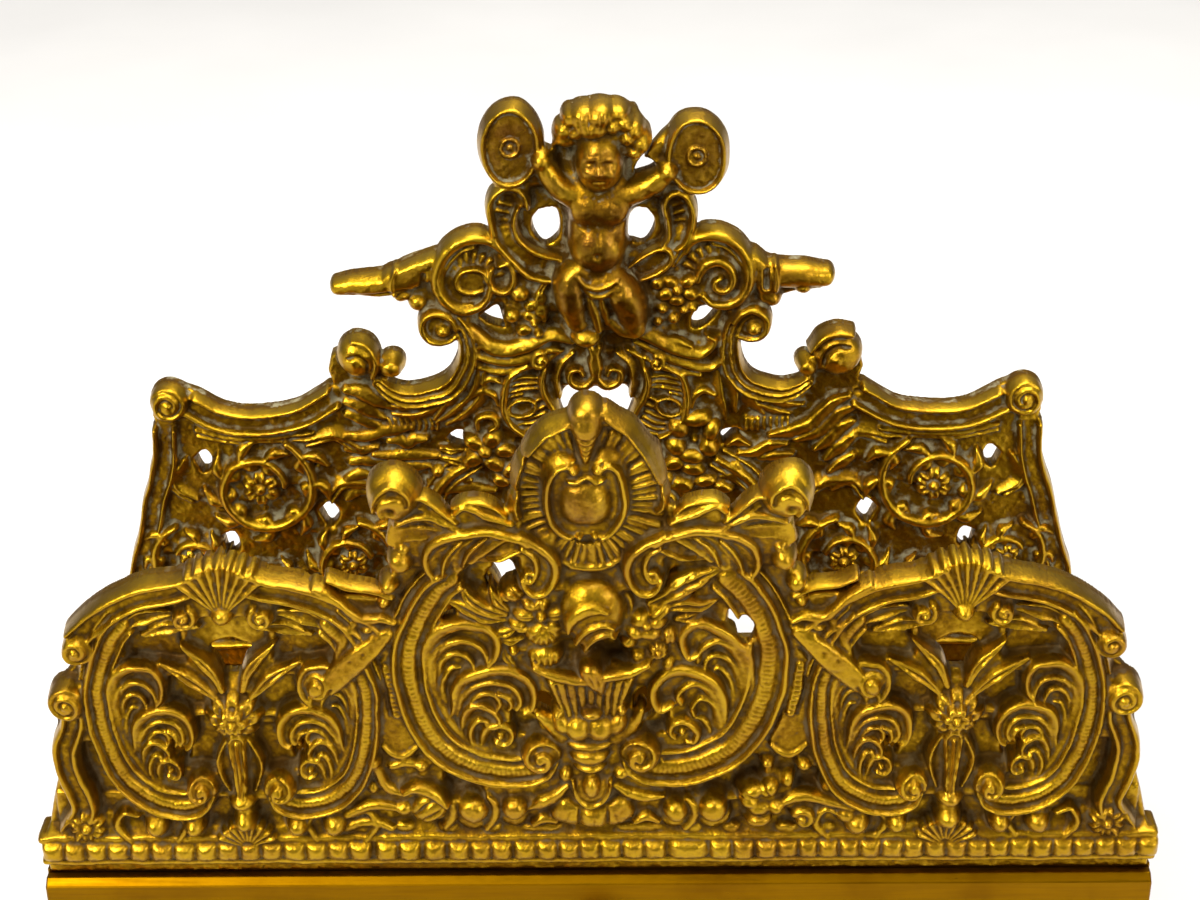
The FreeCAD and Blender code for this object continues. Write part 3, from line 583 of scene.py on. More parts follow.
# ------------------------------------------------------------------ front casting
def front_casting():
    f = Relief(-31.5, -126.0, 126.0, 43.0, 167.0)
    L, D, W = f.line, f.dome, f.web
    half = [
        (0.0, 160.4), (-3.6, 159.6), (-5.9, 158.0), (-10.6, 155.6), (-14.2, 151.0), (-15.6, 145.7), (-15.9, 139.4),
        (-20.4, 136.5), (-25.4, 136.0), (-30.2, 137.0), (-34.1, 138.0), (-38.0, 139.0), (-41.0, 137.5), (-42.0, 134.0),
        (-40.5, 130.0), (-40.0, 126.0), (-41.5, 122.0), (-44.0, 117.0), (-45.8, 113.0), (-47.2, 110.8), (-48.9, 111.0),
        (-51.4, 113.8), (-56.0, 117.5), (-62.0, 120.0), (-69.0, 121.5), (-75.0, 124.0), (-78.0, 126.2), (-81.0, 124.0),
        (-87.0, 121.5), (-94.0, 117.5), (-100.5, 111.5), (-106.0, 105.0), (-110.0, 99.5), (-114.0, 96.0), (-117.5, 92.5),
        (-119.0, 87.0), (-117.5, 81.0), (-118.5, 72.0), (-121.5, 62.0), (-123.5, 54.0), (-123.9, 38.0)]
    W(full(half), 5.2, m=0, mm=True, smooth=False)

    # piercings
    for h in ([(-21.5, 121.0), (-17.3, 122.0), (-15.2, 119.4), (-16.4, 115.8), (-20.2, 115.4), (-22.5, 118.4)],
              [(-37.5, 112.0), (-33.5, 115.0), (-29.5, 113.0), (-28.5, 108.5), (-31.5, 105.5), (-36.0, 106.0)],
              [(-28.5, 97.5), (-26.2, 97.0), (-24.6, 94.0), (-25.6, 91.0), (-28.6, 92.0)],
              [(-11.5, 92.0), (-9.4, 90.5), (-8.4, 85.0), (-10.8, 82.5), (-13.2, 84.5)],
              [(-73.5, 102.0), (-78.0, 104.0), (-82.5, 102.0), (-82.0, 97.5), (-78.0, 95.5), (-74.0, 97.5)],
              [(-62.0, 79.0), (-65.0, 80.0), (-66.5, 77.0), (-66.0, 73.0), (-63.5, 72.5), (-61.5, 75.5)],
              [(-94.0, 79.0), (-91.0, 80.0), (-89.5, 77.0), (-90.0, 73.0), (-92.5, 72.5), (-94.5, 75.5)]):
        f.hole(h, mm=True)
    f.hole([(492, 566), (502, 561), (514, 567), (514, 580), (499, 583)], m=0, h=6.0)

    # bead moulding along the foot
    W([(-120.5, 52.0), (120.5, 52.0), (120.5, 64.0), (-120.5, 64.0)], 6.0, m=0, mm=True, smooth=False)
    W([(-124.5, 36.0), (124.5, 36.0), (124.5, 47.0), (-124.5, 47.0)], 7.0, m=0, mm=True, smooth=False)
    W([(-124.5, 46.3), (124.5, 46.3), (124.5, 53.6), (-124.5, 53.6)], 8.5, m=0, mm=True, smooth=False)
    L([(-124.5, 47.1), (124.5, 47.1)], 0.85, 9.6, 8.0, "flat", m=0, mm=True)
    L([(-124.5, 53.1), (124.5, 53.1)], 1.0, 9.3, 8.1, "flat", m=0, mm=True)
    ledge = np.where((f.z > 53.0) & (f.z < 57.8), 9.1 - 0.72 * (f.z - 53.2), -9.0)[:, None] + np.where(abs(f.x) < 120.5, 0.0, -9.0)[None, :]
    f.H = smax(f.H, ledge, 0.3)
    beads = [361, 387, 410, 435, 459, 481, 502, 525, 547, 569, 590, 611, 633, 655, 688, 720, 743, 766, 787, 808, 828, 849]
    xs = [float(q) for q in f.px([(b, 850) for b in beads], 9.0)[:, 0]]
    wide = xs[14]
    lows, highs = min(xs), max(xs)
    while lows > -121.0:
        lows -= 4.95
        xs.append(lows)
    while highs < 121.0:
        highs += 4.75
        xs.append(highs)
    xs.sort()
    for i, x in enumerate(xs):
        gap = min(x - xs[i - 1] if i else 4.9, xs[i + 1] - x if i + 1 < len(xs) else 4.9)
        D((x, 50.1), 4.5 if x == wide else min(0.5 * gap, 2.5) + 0.12, 2.45, 11.3, 8.6, p=2.1, n=5.0, m=0, mm=True, k=0.15)


    ring_l = [(441, 575), (426, 588), (412, 608), (402, 629), (396, 646), (394, 663), (395, 682), (400, 703), (408, 725),
              (418, 742), (430, 757), (444, 768), (461, 777), (480, 784), (500, 787), (520, 787), (537, 784), (550, 777), (556, 766)]
    stem_l = [(430, 672), (433, 690), (440, 708), (450, 723), (463, 738), (480, 750), (500, 757), (518, 756)]

    def flip(pts):
        return [(1181 - x, y - 0.0102 * (1181 - 2 * x)) for x, y in pts]

    def bay(ring, stem, sg=1, m=1, wide=1.0):
        """One large C scroll: a round rim, a ribbed band beside it and a thin inner rim."""
        L(ring[:5], 0.42, 10.2, 8.0, off=-2.3 * sg, hh=11.0, m=m)
        L(ring, 0.8 * wide, 9.4, 7.0, "flat", off=1.2 * sg * wide, hh=11.0, m=m)
        L(ring, 1.6 * wide, 10.3, 8.6, rib=(1.1, 0.3), off=3.0 * sg * wide, hh=11.0, m=m)
        L(ring, 0.9 * wide, 8.2, 6.0, "flat", off=5.0 * sg * wide, hh=11.0, m=m)
        L(ring, 0.68, 9.8, 6.5, off=6.1 * sg * wide, hh=11.0, m=m)
        L(ring, 0.85, 11.3, 8.0, hh=11.0, m=m)
        f.roll(flip([(541, 763)])[0] if sg < 0 else (541, 763), 4.5, 13.4, 7.0, turns=1.05, a0=-80 if sg > 0 else -100, cw=-sg, depth=1.9, width=0.75, p=5.0, m=m)
        # stem along the inside of the ring
        L(stem, [0.8, 1.2, 1.4, 1.4, 1.3, 1.0], 8.4, 5.0, m=m)

    def scrolls(m):
        # upper nested curls
        L([(433, 690), (429, 672), (428, 656), (433, 643), (444, 634), (458, 630), (474, 631), (486, 633), (494, 641), (497, 652), (494, 662), (488, 668)],
          [0.9, 1.4, 1.8, 2.1, 2.2, 2.1, 1.9, 1.7, 1.5, 1.2, 0.9], [8.6, 9.6, 10.6, 11.2, 11.4, 11.4, 11.4, 11.2, 11.0], 5.5, "lobe", m=m)
        L([(437, 704), (432, 686), (432, 668), (438, 655), (449, 648), (463, 645), (476, 649), (484, 657), (486, 668), (481, 673)],
          [0.8, 1.2, 1.4, 1.5, 1.5, 1.4, 1.2, 0.9, 0.7], [8.4, 9.2, 9.8, 10.2, 10.4, 10.4, 10.2], 5.5, "lobe", m=m)
        L([(442, 708), (437, 688), (439, 671), (446, 661), (457, 657), (467, 661), (472, 669), (468, 676)],
          [0.7, 1.1, 1.3, 1.3, 1.2, 0.9, 0.7], [8.2, 8.8, 9.4, 9.6, 9.6], 5.0, "lobe", m=m)
        L([(448, 712), (444, 694), (446, 680), (453, 671), (460, 671)], [0.6, 1.0, 1.1, 0.9, 0.5], [8.0, 8.4, 8.8, 8.6], 5.0, "lobe", m=m)
        # lower nested curls
        L([(452, 724), (455, 710), (457, 697), (464, 686), (476, 680), (492, 676), (508, 676), (521, 681), (530, 690), (533, 702), (530, 712), (523, 716)],
          [0.8, 1.3, 1.7, 2.0, 2.1, 2.1, 2.0, 1.8, 1.5, 1.2, 0.9], [8.4, 9.6, 10.6, 11.2, 11.4, 11.4, 11.4, 11.2, 11.0], 5.5, "lobe", m=m)
        L([(458, 722), (462, 706), (468, 696), (479, 690), (493, 687), (506, 689), (516, 696), (519, 705), (515, 712)],
          [0.8, 1.2, 1.4, 1.4, 1.3, 1.2, 1.0, 0.7], [8.2, 9.4, 10.0, 10.2, 10.4, 10.2], 5.5, "lobe", m=m)
        L([(466, 722), (473, 706), (484, 698), (494, 699), (499, 706), (496, 712)], [0.7, 1.1, 1.2, 1.0, 0.7], [8.2, 9.2, 9.6, 9.6], 5.0, "lobe", m=m)
        L([(498, 697), (507, 700), (511, 707), (508, 713)], [0.6, 0.9, 0.8, 0.5], 9.6, 5.5, m=m)
        L([(463, 736), (466, 720), (473, 712), (483, 711), (493, 716), (498, 723), (494, 729), (487, 727)], [0.9, 1.3, 1.5, 1.4, 1.2, 0.9, 0.7],
          [8.4, 9.4, 10.2, 10.4, 10.4, 10.2], 5.0, "lobe", m=m)
        L([(474, 750), (471, 736), (474, 726), (481, 721), (488, 723)], [0.8, 1.1, 1.1, 0.9, 0.6], [8.2, 9.0, 9.2, 9.0], 5.0, m=m)
        L([(482, 752), (485, 738), (490, 731), (500, 729), (509, 733), (511, 741), (504, 747), (495, 745)], [0.8, 1.2, 1.4, 1.3, 1.1, 0.9, 0.7],
          [8.4, 9.4, 10.2, 10.4, 10.2, 10.0], 5.0, "lobe", m=m)
        D((499, 739), 0.9, 0.9, 10.0, 7.5, m=m)
        for pts in ([(436, 668), (440, 652), (450, 642), (464, 638), (478, 641), (487, 649)], [(463, 702), (469, 692), (481, 685), (496, 682), (511, 684), (522, 692)],
                    [(438, 690), (437, 672), (443, 661), (453, 654)], [(466, 712), (473, 700), (484, 693), (495, 692)]):
            L(pts, [0.2, 0.34, 0.34, 0.2], [0.3, 0.6, 0.6, 0.3], cut=True, hh=10.8, m=m)

    bay(ring_l, stem_l, m=0)
    bay(flip(ring_l), flip(stem_l), -1, 0, 1.22)
    scrolls(0)
    # right half of the middle bay, its curls drawn on their own
    L([(744, 712), (749, 695), (750, 680), (748, 666), (741, 652), (730, 641), (717, 633), (704, 628), (691, 631), (683, 640), (683, 652), (689, 662), (696, 659)],
      [0.9, 1.4, 1.8, 2.1, 2.2, 2.1, 1.9, 1.7, 1.5, 1.2, 0.9], [8.6, 9.6, 10.6, 11.2, 11.4, 11.4, 11.4, 11.2, 11.0], 5.5, "lober", m=0)
    L([(737, 722), (742, 703), (744, 684), (740, 664), (731, 651), (719, 645), (708, 648), (700, 655), (699, 664)],
      [0.8, 1.2, 1.4, 1.5, 1.5, 1.4, 1.2, 0.8], [8.4, 9.2, 9.8, 10.2, 10.4, 10.4, 10.2], 5.5, "lober", m=0)
    L([(735, 714), (739, 697), (739, 684), (734, 670), (725, 661), (714, 659), (707, 664), (706, 673)], [0.7, 1.1, 1.3, 1.3, 1.2, 0.9, 0.7],
      [8.2, 8.8, 9.4, 9.6, 9.6], 5.0, "lober", m=0)
    L([(731, 708), (732, 692), (727, 678), (719, 671), (713, 674)], [0.6, 1.0, 1.1, 0.9, 0.5], [8.0, 8.4, 8.8, 8.6], 5.0, "lober", m=0)
    L([(716, 742), (722, 729), (723, 715), (721, 703), (714, 690), (700, 680), (685, 676), (670, 678), (660, 685), (654, 695), (655, 706), (661, 714), (671, 709)],
      [0.8, 1.3, 1.7, 2.0, 2.1, 2.1, 2.0, 1.8, 1.5, 1.2, 0.9], [8.4, 9.6, 10.6, 11.2, 11.4, 11.4, 11.4, 11.2, 11.0], 5.5, "lober", m=0)
    L([(714, 730), (717, 714), (714, 702), (706, 693), (695, 688), (684, 691), (678, 698), (682, 706)], [0.8, 1.2, 1.4, 1.4, 1.3, 1.1, 0.8],
      [8.2, 9.4, 10.0, 10.2, 10.4, 10.2], 5.5, "lober", m=0)
    L([(704, 751), (714, 743), (719, 730), (717, 716), (710, 706), (701, 703), (693, 711), (695, 718)], [0.7, 1.1, 1.3, 1.3, 1.1, 0.9, 0.7],
      [8.2, 9.2, 9.6, 9.8, 9.8], 5.0, "lober", m=0)
    L([(688, 746), (694, 746), (698, 737), (692, 728), (682, 723), (673, 726), (670, 735), (676, 740)], [0.8, 1.2, 1.4, 1.3, 1.2, 1.0, 0.7],
      [9.0, 9.6, 10.2, 10.4, 10.2, 10.0], 5.0, m=0)
    L([(707, 742), (708, 730), (702, 722), (695, 720)], [0.8, 1.1, 1.0, 0.6], [8.2, 9.0, 9.2, 9.0], 5.0, "lober", m=0)
    D((682, 735), 0.9, 0.9, 10.0, 7.5, m=0)

    # leaf and roll at the shoulder
    W([(396, 521), (409, 501), (424, 497), (438, 507), (449, 515), (457, 508), (466, 503), (480, 503), (495, 508), (506, 516), (516, 529), (534, 543),
       (548, 557), (530, 549), (505, 542), (478, 541), (455, 546), (437, 557), (420, 557), (405, 553), (389, 547), (386, 534)], 10.2)
    for pts, w_, tp in (([(413, 500), (428, 505), (439, 513), (448, 520), (457, 526)], [0.5, 0.9, 0.9, 0.7, 0.4], 12.4),
                        ([(455, 517), (464, 510), (475, 513), (486, 519), (500, 523), (512, 527)], [0.5, 0.9, 1.0, 1.0, 0.8, 0.5], 12.6),
                        ([(394, 527), (410, 522), (428, 520), (445, 526), (460, 532), (480, 535)], [0.6, 0.9, 1.0, 0.9, 0.7, 0.4], 12.2),
                        ([(452, 511), (462, 505), (478, 505), (494, 510), (506, 519)], [0.4, 0.6, 0.7, 0.6, 0.4], 11.9),
                        ([(420, 511), (432, 515), (444, 522)], [0.4, 0.6, 0.4], 11.6)):
        L(pts, w_, tp, 10.0, "round")
    L([(440, 534), (424, 534), (408, 535), (396, 539), (388, 546)], [0.9, 1.7, 2.0, 1.8, 0.9], [11.2, 11.4, 11.4, 10.8, 10.0], 8.2, "hollow")
    L([(452, 538), (437, 541), (425, 546), (413, 556)], [0.9, 1.7, 1.9, 1.0], [11.2, 11.2, 11.0, 10.0], 8.2, "hollow")
    f.cuts([[(404, 529), (420, 527), (438, 530)], [(448, 527), (466, 527), (488, 530)], [(458, 520), (474, 521), (492, 526)], [(412, 512), (426, 511), (438, 518)]],
           0.4, 0.7, 11.2)
    D((391, 505), 5.7, 5.8, 14.8, 9.2, p=2.0)
    f.behind((391, 505), 5.6, 5.8, 9.0, hh=14.4)
    L([(372, 514), (373, 503), (380, 493), (390, 488), (401, 492), (408, 500), (409, 508)], [0.4, 0.6, 0.7, 0.7, 0.6, 0.4], 14.9, 12.8, hh=14.2, grow=None)
    L([(406, 509), (402, 499), (391, 494), (381, 499), (376, 509), (378, 519), (387, 523)], [0.4, 0.65, 0.75, 0.65, 0.4], [0.9, 1.8, 2.2, 1.8, 1.0], cut=True, hh=13.8)
    L([(396, 513), (394, 505), (387, 501), (380, 506), (378, 514), (383, 520)], [0.4, 0.6, 0.7, 0.6, 0.4], 14.6, 12.6, hh=14.0, grow=None)
    f.lift((389, 513), 1.0, 1.0, -1.7, hh=14.0)

    # hood leaf over the bay
    W([(438, 549), (465, 541), (500, 541), (527, 548), (513, 557), (488, 563), (472, 562), (461, 572), (446, 581), (431, 582), (427, 566)], 9.4)
    for pts, w_ in (([(456, 548), (443, 558), (436, 570), (434, 580)], [1.5, 2.2, 2.2, 1.2]), ([(480, 542), (467, 552), (460, 562), (457, 572)], [1.2, 1.9, 1.9, 1.0]),
                    ([(500, 542), (485, 549), (475, 558), (471, 566)], [1.2, 1.8, 1.7, 0.9]), ([(527, 548), (510, 548), (496, 553), (486, 560)], [1.2, 2.0, 2.2, 1.3])):
        L(pts, w_, [11.6, 11.4, 11.2, 10.2], 8.6, "hollow")
    for pts in ([(461, 545), (449, 556), (443, 567), (440, 579)], [(487, 541), (473, 551), (466, 561), (463, 571)], [(527, 551), (513, 558), (499, 563), (487, 563)]):
        L(pts, [0.4, 0.65, 0.65, 0.4], 11.9, 9.6)
    L([(443, 580), (435, 585), (427, 578), (424, 566), (428, 553), (439, 544), (455, 538), (470, 535), (487, 534), (505, 537), (520, 541), (528, 546)],
      [0.6, 0.8, 0.9, 1.1, 1.25, 1.35, 1.35, 1.35, 1.35, 1.3, 1.2], [10.8, 11.2, 11.8, 12.2, 12.8, 13.2, 13.4, 13.4, 13.4], 9.4)
    L([(528, 549), (540, 558), (547, 570), (544, 583), (535, 591)], [1.4, 2.1, 2.3, 2.1, 1.4], 11.4, 8.6, "flat")
    L([(520, 541), (540, 551), (551, 561), (556, 573), (553, 587), (545, 596), (535, 598), (526, 592), (522, 584)],
      [1.2, 1.25, 1.25, 1.2, 1.1, 1.0, 0.9, 0.7], 13.4, 9.6)
    L([(522, 552), (533, 559), (538, 569), (537, 579), (531, 585), (526, 582), (528, 576), (534, 577)], [0.6, 0.8, 0.85, 0.8, 0.8, 0.7, 0.6], 12.7, 10.0)

    # drops at the outer side
    L([(404, 550), (397, 566), (387, 590), (381, 608)], [1.2, 1.2, 1.0], 8.0, 4.0)
    D((402, 553), 1.7, 1.6, 11.6, 8.4)
    D((398, 568), 2.9, 2.8, 13.2, 8.4)
    D((387, 591), 2.3, 2.3, 12.4, 8.0)
    D((383, 607), 1.5, 1.5, 11.0, 7.8)

    # cartouche
    W([(568, 424), (557, 429), (546, 436), (532, 448), (520, 464), (514, 482), (512, 504), (514, 525), (526, 545), (547, 560), (566, 568), (588, 571),
       (610, 568), (632, 558), (651, 540), (663, 520), (665, 498), (662, 485), (655, 463), (644, 447), (632, 435), (617, 427), (604, 419), (586, 416)], 9.0, m=0)
    rng = np.random.default_rng(21)
    c0 = f.px([(586.5, 500)], 10.0)[0]
    for i in range(52):
        a = 2 * math.pi * (i + 0.3 * rng.uniform(-1, 1)) / 52
        L([(c0[0] + 9.0 * math.cos(a), c0[1] + 10.8 * math.sin(a)), (c0[0] + 15.4 * math.cos(a), c0[1] + 16.2 * math.sin(a))],
          [0.55, 0.95], [10.3, 10.3 + 0.4 * rng.uniform(-1, 1)], 9.2, m=0, mm=True, k=0.3, grow=None)
    for side, crest, pr, w_ in (
            ([(568, 424), (557, 428), (545, 435), (539, 440), (531, 447), (524, 457)], [(568, 429), (558, 433), (547, 438), (542, 442), (535, 449), (528, 459)], "fold", 0.95),
            ([(519, 466), (515, 475), (513, 485), (513, 491)], [(523, 466), (519, 475), (516, 485), (516, 491)], "fold", 0.9),
            ([(513, 499), (511, 507), (513, 517), (515, 523)], [(517, 498), (515, 507), (517, 516), (519, 522)], "fold", 0.9),
            ([(605, 417), (616, 424), (629, 431), (636, 438), (646, 452), (652, 462), (659, 475), (663, 487)],
             [(605, 423), (615, 430), (627, 436), (633, 442), (642, 453), (648, 463), (655, 475), (660, 488)], "foldr", 1.1),
            ([(665, 495), (667, 503), (664, 512), (659, 517)], [(662, 495), (664, 503), (662, 511), (657, 516)], "foldr", 0.8)):
        L(side, [0.8 * w_, w_, w_, 0.8 * w_], 12.8, 9.0, pr, m=0, k=0.3)
        L(crest, [0.4, 0.6, 0.6, 0.4], [12.8, 13.4, 13.4, 12.8], 10.6, m=0)
    L([(572, 463), (562, 462), (551, 467), (546, 478), (544, 493), (544, 508), (548, 522), (555, 533), (564, 540)], [0.9, 1.3, 1.3, 1.1, 1.0, 1.0, 1.0, 0.9, 0.8],
      13.2, 9.6, "fold", m=0, k=0.3)
    L([(568, 469), (560, 471), (553, 477), (548, 487), (546, 500), (547, 514), (551, 526), (557, 534), (564, 540), (570, 542)], [0.7, 0.85, 0.9, 0.9, 0.85, 0.7],
      [13.8, 13.8, 13.6, 13.4, 12.8], 10.5, m=0)
    L([(597, 463), (604, 459), (613, 463), (620, 472), (624, 483), (627, 497), (627, 510), (621, 524), (611, 537)], [1.0, 1.9, 1.6, 1.2, 0.9, 0.9, 0.9, 0.9, 0.8],
      13.2, 9.6, "foldr", m=0, k=0.3)
    L([(600, 472), (608, 468), (616, 472), (621, 482), (625, 496), (626, 508), (623, 519), (617, 529), (609, 538), (602, 542)], [0.7, 0.85, 0.9, 0.9, 0.85, 0.7],
      [13.8, 13.8, 13.6, 13.4, 12.8], 10.5, m=0)
    D((586, 478), 4.0, 1.7, 12.0, 9.5, m=0, p=4.0)
    D((574, 475), 1.45, 1.4, 14.4, 10.0, m=0, k=0.3)
    D((598, 474), 1.45, 1.4, 14.4, 10.0, m=0, k=0.3)
    L([(612, 480), (616, 492), (616, 505), (612, 517)], [0.3, 0.5, 0.5, 0.3], 11.4, 9.4, m=0)
    D((585, 508), 5.7, 5.9, 14.6, 9.6, p=2.3, n=2.5, m=0, k=0.3)
    f.stain((583, 507), 4.6, 5.4, 1.0, hh=14)
    f.stain((586, 552), 13.0, 4.5, 0.6, hh=10)
    f.stain((540, 500), 5.0, 12.0, 0.5, hh=10)
    L([(568, 485), (577, 485), (582, 482), (587, 480), (592, 482), (597, 485), (604, 482)], [0.4, 0.6, 0.6, 0.5, 0.6, 0.6, 0.4], 13.8, 10.5, m=0)
    D((579, 540), 1.05, 1.0, 13.2, 9.4, m=0, k=0.25)
    D((595, 539), 1.05, 1.0, 13.2, 9.4, m=0, k=0.25)
    L([(560, 562), (574, 568), (592, 570), (610, 567), (622, 560)], [0.7, 1.1, 1.2, 1.1, 0.7], 11.0, 8.0, m=0)
    L([(586, 424), (586, 430), (586, 438), (586, 446), (586, 454), (586, 461), (586, 467)], [3.7, 3.75, 3.1, 2.4, 1.9, 1.3, 0.5],
      [13.8, 14.4, 14.4, 14.0, 13.6, 13.2, 12.6], 8.6, m=0, k=0.25, hh=13.6)
    for v, r in ((441, 11), (448, 10), (454, 8), (459, 6)):
        L([(586 - r, v - 2), (586, v + 1), (586 + r, v - 2)], [0.25, 0.36, 0.25], [0.4, 0.75, 0.4], cut=True, m=0, hh=13.8)
    f.stain((586, 424), 3.4, 4.0, 0.5, hh=13)

    # spray on the left of the middle bud
    L([(505, 622), (482, 618), (461, 609), (443, 603)], [0.6, 2.0, 1.9, 0.4], [9.6, 10.6, 10.2, 9.0], 6.5, "leaf", m=0)
    L([(506, 617), (487, 611), (471, 603), (460, 588)], [0.6, 1.9, 1.9, 0.4], [9.8, 10.6, 10.2, 9.0], 6.5, "leaf", m=0)
    L([(508, 612), (498, 602), (491, 590)], [0.6, 1.5, 0.4], [9.6, 10.4, 9.0], 6.5, "leaf", m=0)
    L([(518, 628), (504, 634), (490, 633)], [0.6, 1.6, 0.4], [9.6, 10.2, 9.0], 6.5, "leaf", m=0)
    L([(522, 640), (509, 643), (498, 640)], [0.6, 1.4, 0.4], [9.8, 10.2, 9.0], 6.5, "leaf", m=0)
    L([(514, 668), (507, 660), (504, 650)], [0.6, 1.4, 0.4], [9.6, 10.0, 9.0], 6.5, "leaf", m=0)
    D((514, 655), 1.3, 1.3, 11.0, 7.5, m=0)
    D((513, 598), 3.2, 2.4, 11.4, 7.0, rot=0.5, m=0)
    f.cuts([[(526, 604), (514, 594), (502, 587)], [(528, 598), (519, 590), (510, 583)], [(518, 608), (508, 602), (500, 595)]], 0.4, 0.9, 11.0, m=0)
    for c, rx, rz, r in (((525, 619), 3.0, 1.9, -0.1), ((519, 630), 2.8, 1.6, -0.5), ((557, 617), 2.7, 2.0, 0.5), ((541, 608), 2.3, 2.0, 1.4),
                         ((530, 608), 2.4, 1.7, -0.7), ((554, 629), 2.5, 1.8, -0.5)):
        D(c, rx, rz, 11.6, 7.5, rot=r, m=0, p=2.3)
    f.cuts([[(538, 620), (527, 619), (516, 618)], [(537, 624), (526, 628), (514, 631)], [(546, 619), (556, 617), (565, 614)], [(541, 615), (540, 608), (540, 601)]],
           0.35, 0.7, 11.0, m=0)
    D((543, 640), 4.1, 3.1, 12.4, 7.5, p=2.6, m=0)
    f.cuts([[(542, 630), (534, 638), (529, 646)], [(542, 630), (539, 641), (536, 651)], [(543, 630), (544, 642), (543, 653)], [(544, 630), (549, 641), (551, 651)],
            [(545, 630), (553, 637), (558, 645)]], 0.38, 0.9, 11.6, m=0)
    D((541, 621), 1.4, 1.4, 12.8, 9.0, m=0)
    D((545, 662), 4.0, 2.8, 12.0, 7.5, m=0, p=2.6)
    f.cuts([[(534, 656), (536, 670)], [(540, 654), (541, 672)], [(547, 654), (547, 672)], [(554, 655), (553, 670)]], 0.36, 0.8, 11.2, m=0)

    # spray on its right
    L([(650, 606), (680, 591), (705, 579), (723, 571)], [1.0, 3.2, 2.8, 0.4], [10.0, 11.0, 10.4, 9.2], 6.5, "leaf", m=0)
    f.cuts([[(668, 596), (676, 586), (686, 581)], [(682, 590), (690, 580), (700, 575)], [(676, 594), (690, 594), (701, 591)], [(692, 586), (704, 585), (712, 581)]],
           0.3, 0.6, 10.6, m=0)
    L([(664, 611), (685, 608), (702, 609), (717, 604)], [0.7, 1.9, 1.8, 0.4], [9.8, 10.4, 10.0, 9.0], 6.5, "leaf", m=0)
    L([(668, 604), (672, 589), (684, 576)], [0.7, 1.6, 0.4], [9.6, 10.2, 9.0], 6.5, "leaf", m=0)
    L([(676, 622), (688, 620), (699, 616)], [0.6, 1.5, 0.4], [9.6, 10.2, 9.0], 6.5, "leaf", m=0)
    D((660, 616), 3.0, 2.2, 11.6, 7.5, rot=0.5, m=0, p=2.4)
    f.cuts([[(652, 621), (660, 616), (668, 609)], [(655, 625), (664, 620), (672, 614)], [(648, 616), (656, 611), (663, 605)]], 0.36, 0.8, 11.2, m=0)
    for c, rx, rz, r in (((640, 624), 2.6, 2.1, 0.9), ((650, 637), 3.0, 2.2, -0.2), ((636, 637), 2.5, 1.9, -0.6), ((658, 627), 2.4, 1.8, 0.3)):
        D(c, rx, rz, 12.0, 7.5, rot=r, m=0, p=2.3)
    D((647, 630), 1.3, 1.3, 12.6, 9.0, m=0)
    D((669, 641), 2.2, 2.4, 11.8, 7.5, m=0)
    f.cuts([[(662, 634), (664, 642), (664, 650)], [(669, 632), (670, 641), (669, 651)], [(675, 635), (676, 642), (674, 649)]], 0.34, 0.8, 11.4, m=0)
    D((629, 646), 2.0, 1.9, 11.4, 7.5, m=0)
    D((638, 660), 1.8, 1.8, 11.2, 7.5, m=0)
    f.flower((658, 656), 2.2, 11.4, 7.5, 6, m=0)
    D((668, 668), 1.5, 2.0, 10.8, 7.0, rot=-0.4, m=0)
    L([(614, 666), (630, 669), (648, 666)], [0.7, 1.6, 0.5], [10.4, 11.0, 9.6], 7.0, "leaf", m=0)

    # middle bud, basket and stem
    L([(562, 622), (564, 603), (576, 590), (593, 585), (611, 589), (622, 602), (626, 618)], [0.7, 1.2, 1.5, 1.5, 1.5, 1.2, 0.7], 10.4, 7.0, m=0)
    L([(630, 618), (631, 604), (624, 592), (612, 584)], [0.5, 0.9, 0.9, 0.5], 9.4, 6.5, m=0)
    D((592, 621), 7.0, 8.0, 14.2, 8.6, p=2.8, n=2.2, m=0, k=0.3)
    for pts, w_, tp in (([(568, 636), (571, 624), (582, 616), (596, 613), (608, 616)], [0.5, 1.3, 1.6, 1.4, 0.5], 15.2),
                        ([(575, 648), (582, 637), (592, 630), (604, 628), (614, 632)], [0.4, 0.8, 0.9, 0.8, 0.4], 15.4),
                        ([(584, 654), (590, 645), (599, 639), (608, 637), (616, 641)], [0.4, 0.7, 0.8, 0.7, 0.4], 15.4)):
        L(pts, w_, tp, 13.0, m=0, grow=None, k=0.25)
    f.lift((605, 650), 1.7, 1.0, -2.6, m=0, hh=14.0)
    f.stain((600, 640), 5.0, 4.0, 0.5, hh=14)
    W([(549, 684), (632, 682), (617, 716), (565, 718)], 11.0, m=0, smooth=False)
    for i in range(8):
        c = -0.88 + 1.76 * i / 7
        L([(590.5 + 38.5 * c, 684 - 2 * c), (591 + 27 * c, 717 - 2 * c)], [0.3, 0.26], [0.9, 0.8], cut=True, m=0, hh=10.8)
    f.stain((591, 700), 8.5, 4.2, 0.8, hh=11)
    L([(534, 671), (546, 677), (562, 681), (580, 684), (596, 684)], [1.0, 1.5, 1.6, 1.6, 1.3], 12.8, 9.0, m=0)
    L([(596, 683), (614, 679), (632, 676), (648, 668)], [1.3, 1.6, 1.6, 1.0], 12.8, 9.0, m=0)
    L([(590, 676), (597, 686), (602, 698)], [2.6, 2.8, 0.6], [13.4, 13.2, 11.8], 9.5, m=0, k=0.3)
    f.cuts([[(588, 676), (594, 688)], [(596, 675), (600, 690)]], 0.35, 0.6, 13.0, m=0)
    D((578, 735), 3.1, 3.4, 13.4, 9.5, m=0, k=0.25)
    D((600, 735), 3.3, 3.4, 13.4, 9.5, m=0, k=0.25)
    D((563, 729), 2.2, 3.0, 12.4, 9.0, m=0, rot=0.35, k=0.25)
    D((616, 729), 2.4, 3.0, 12.4, 9.0, m=0, rot=-0.35, k=0.25)
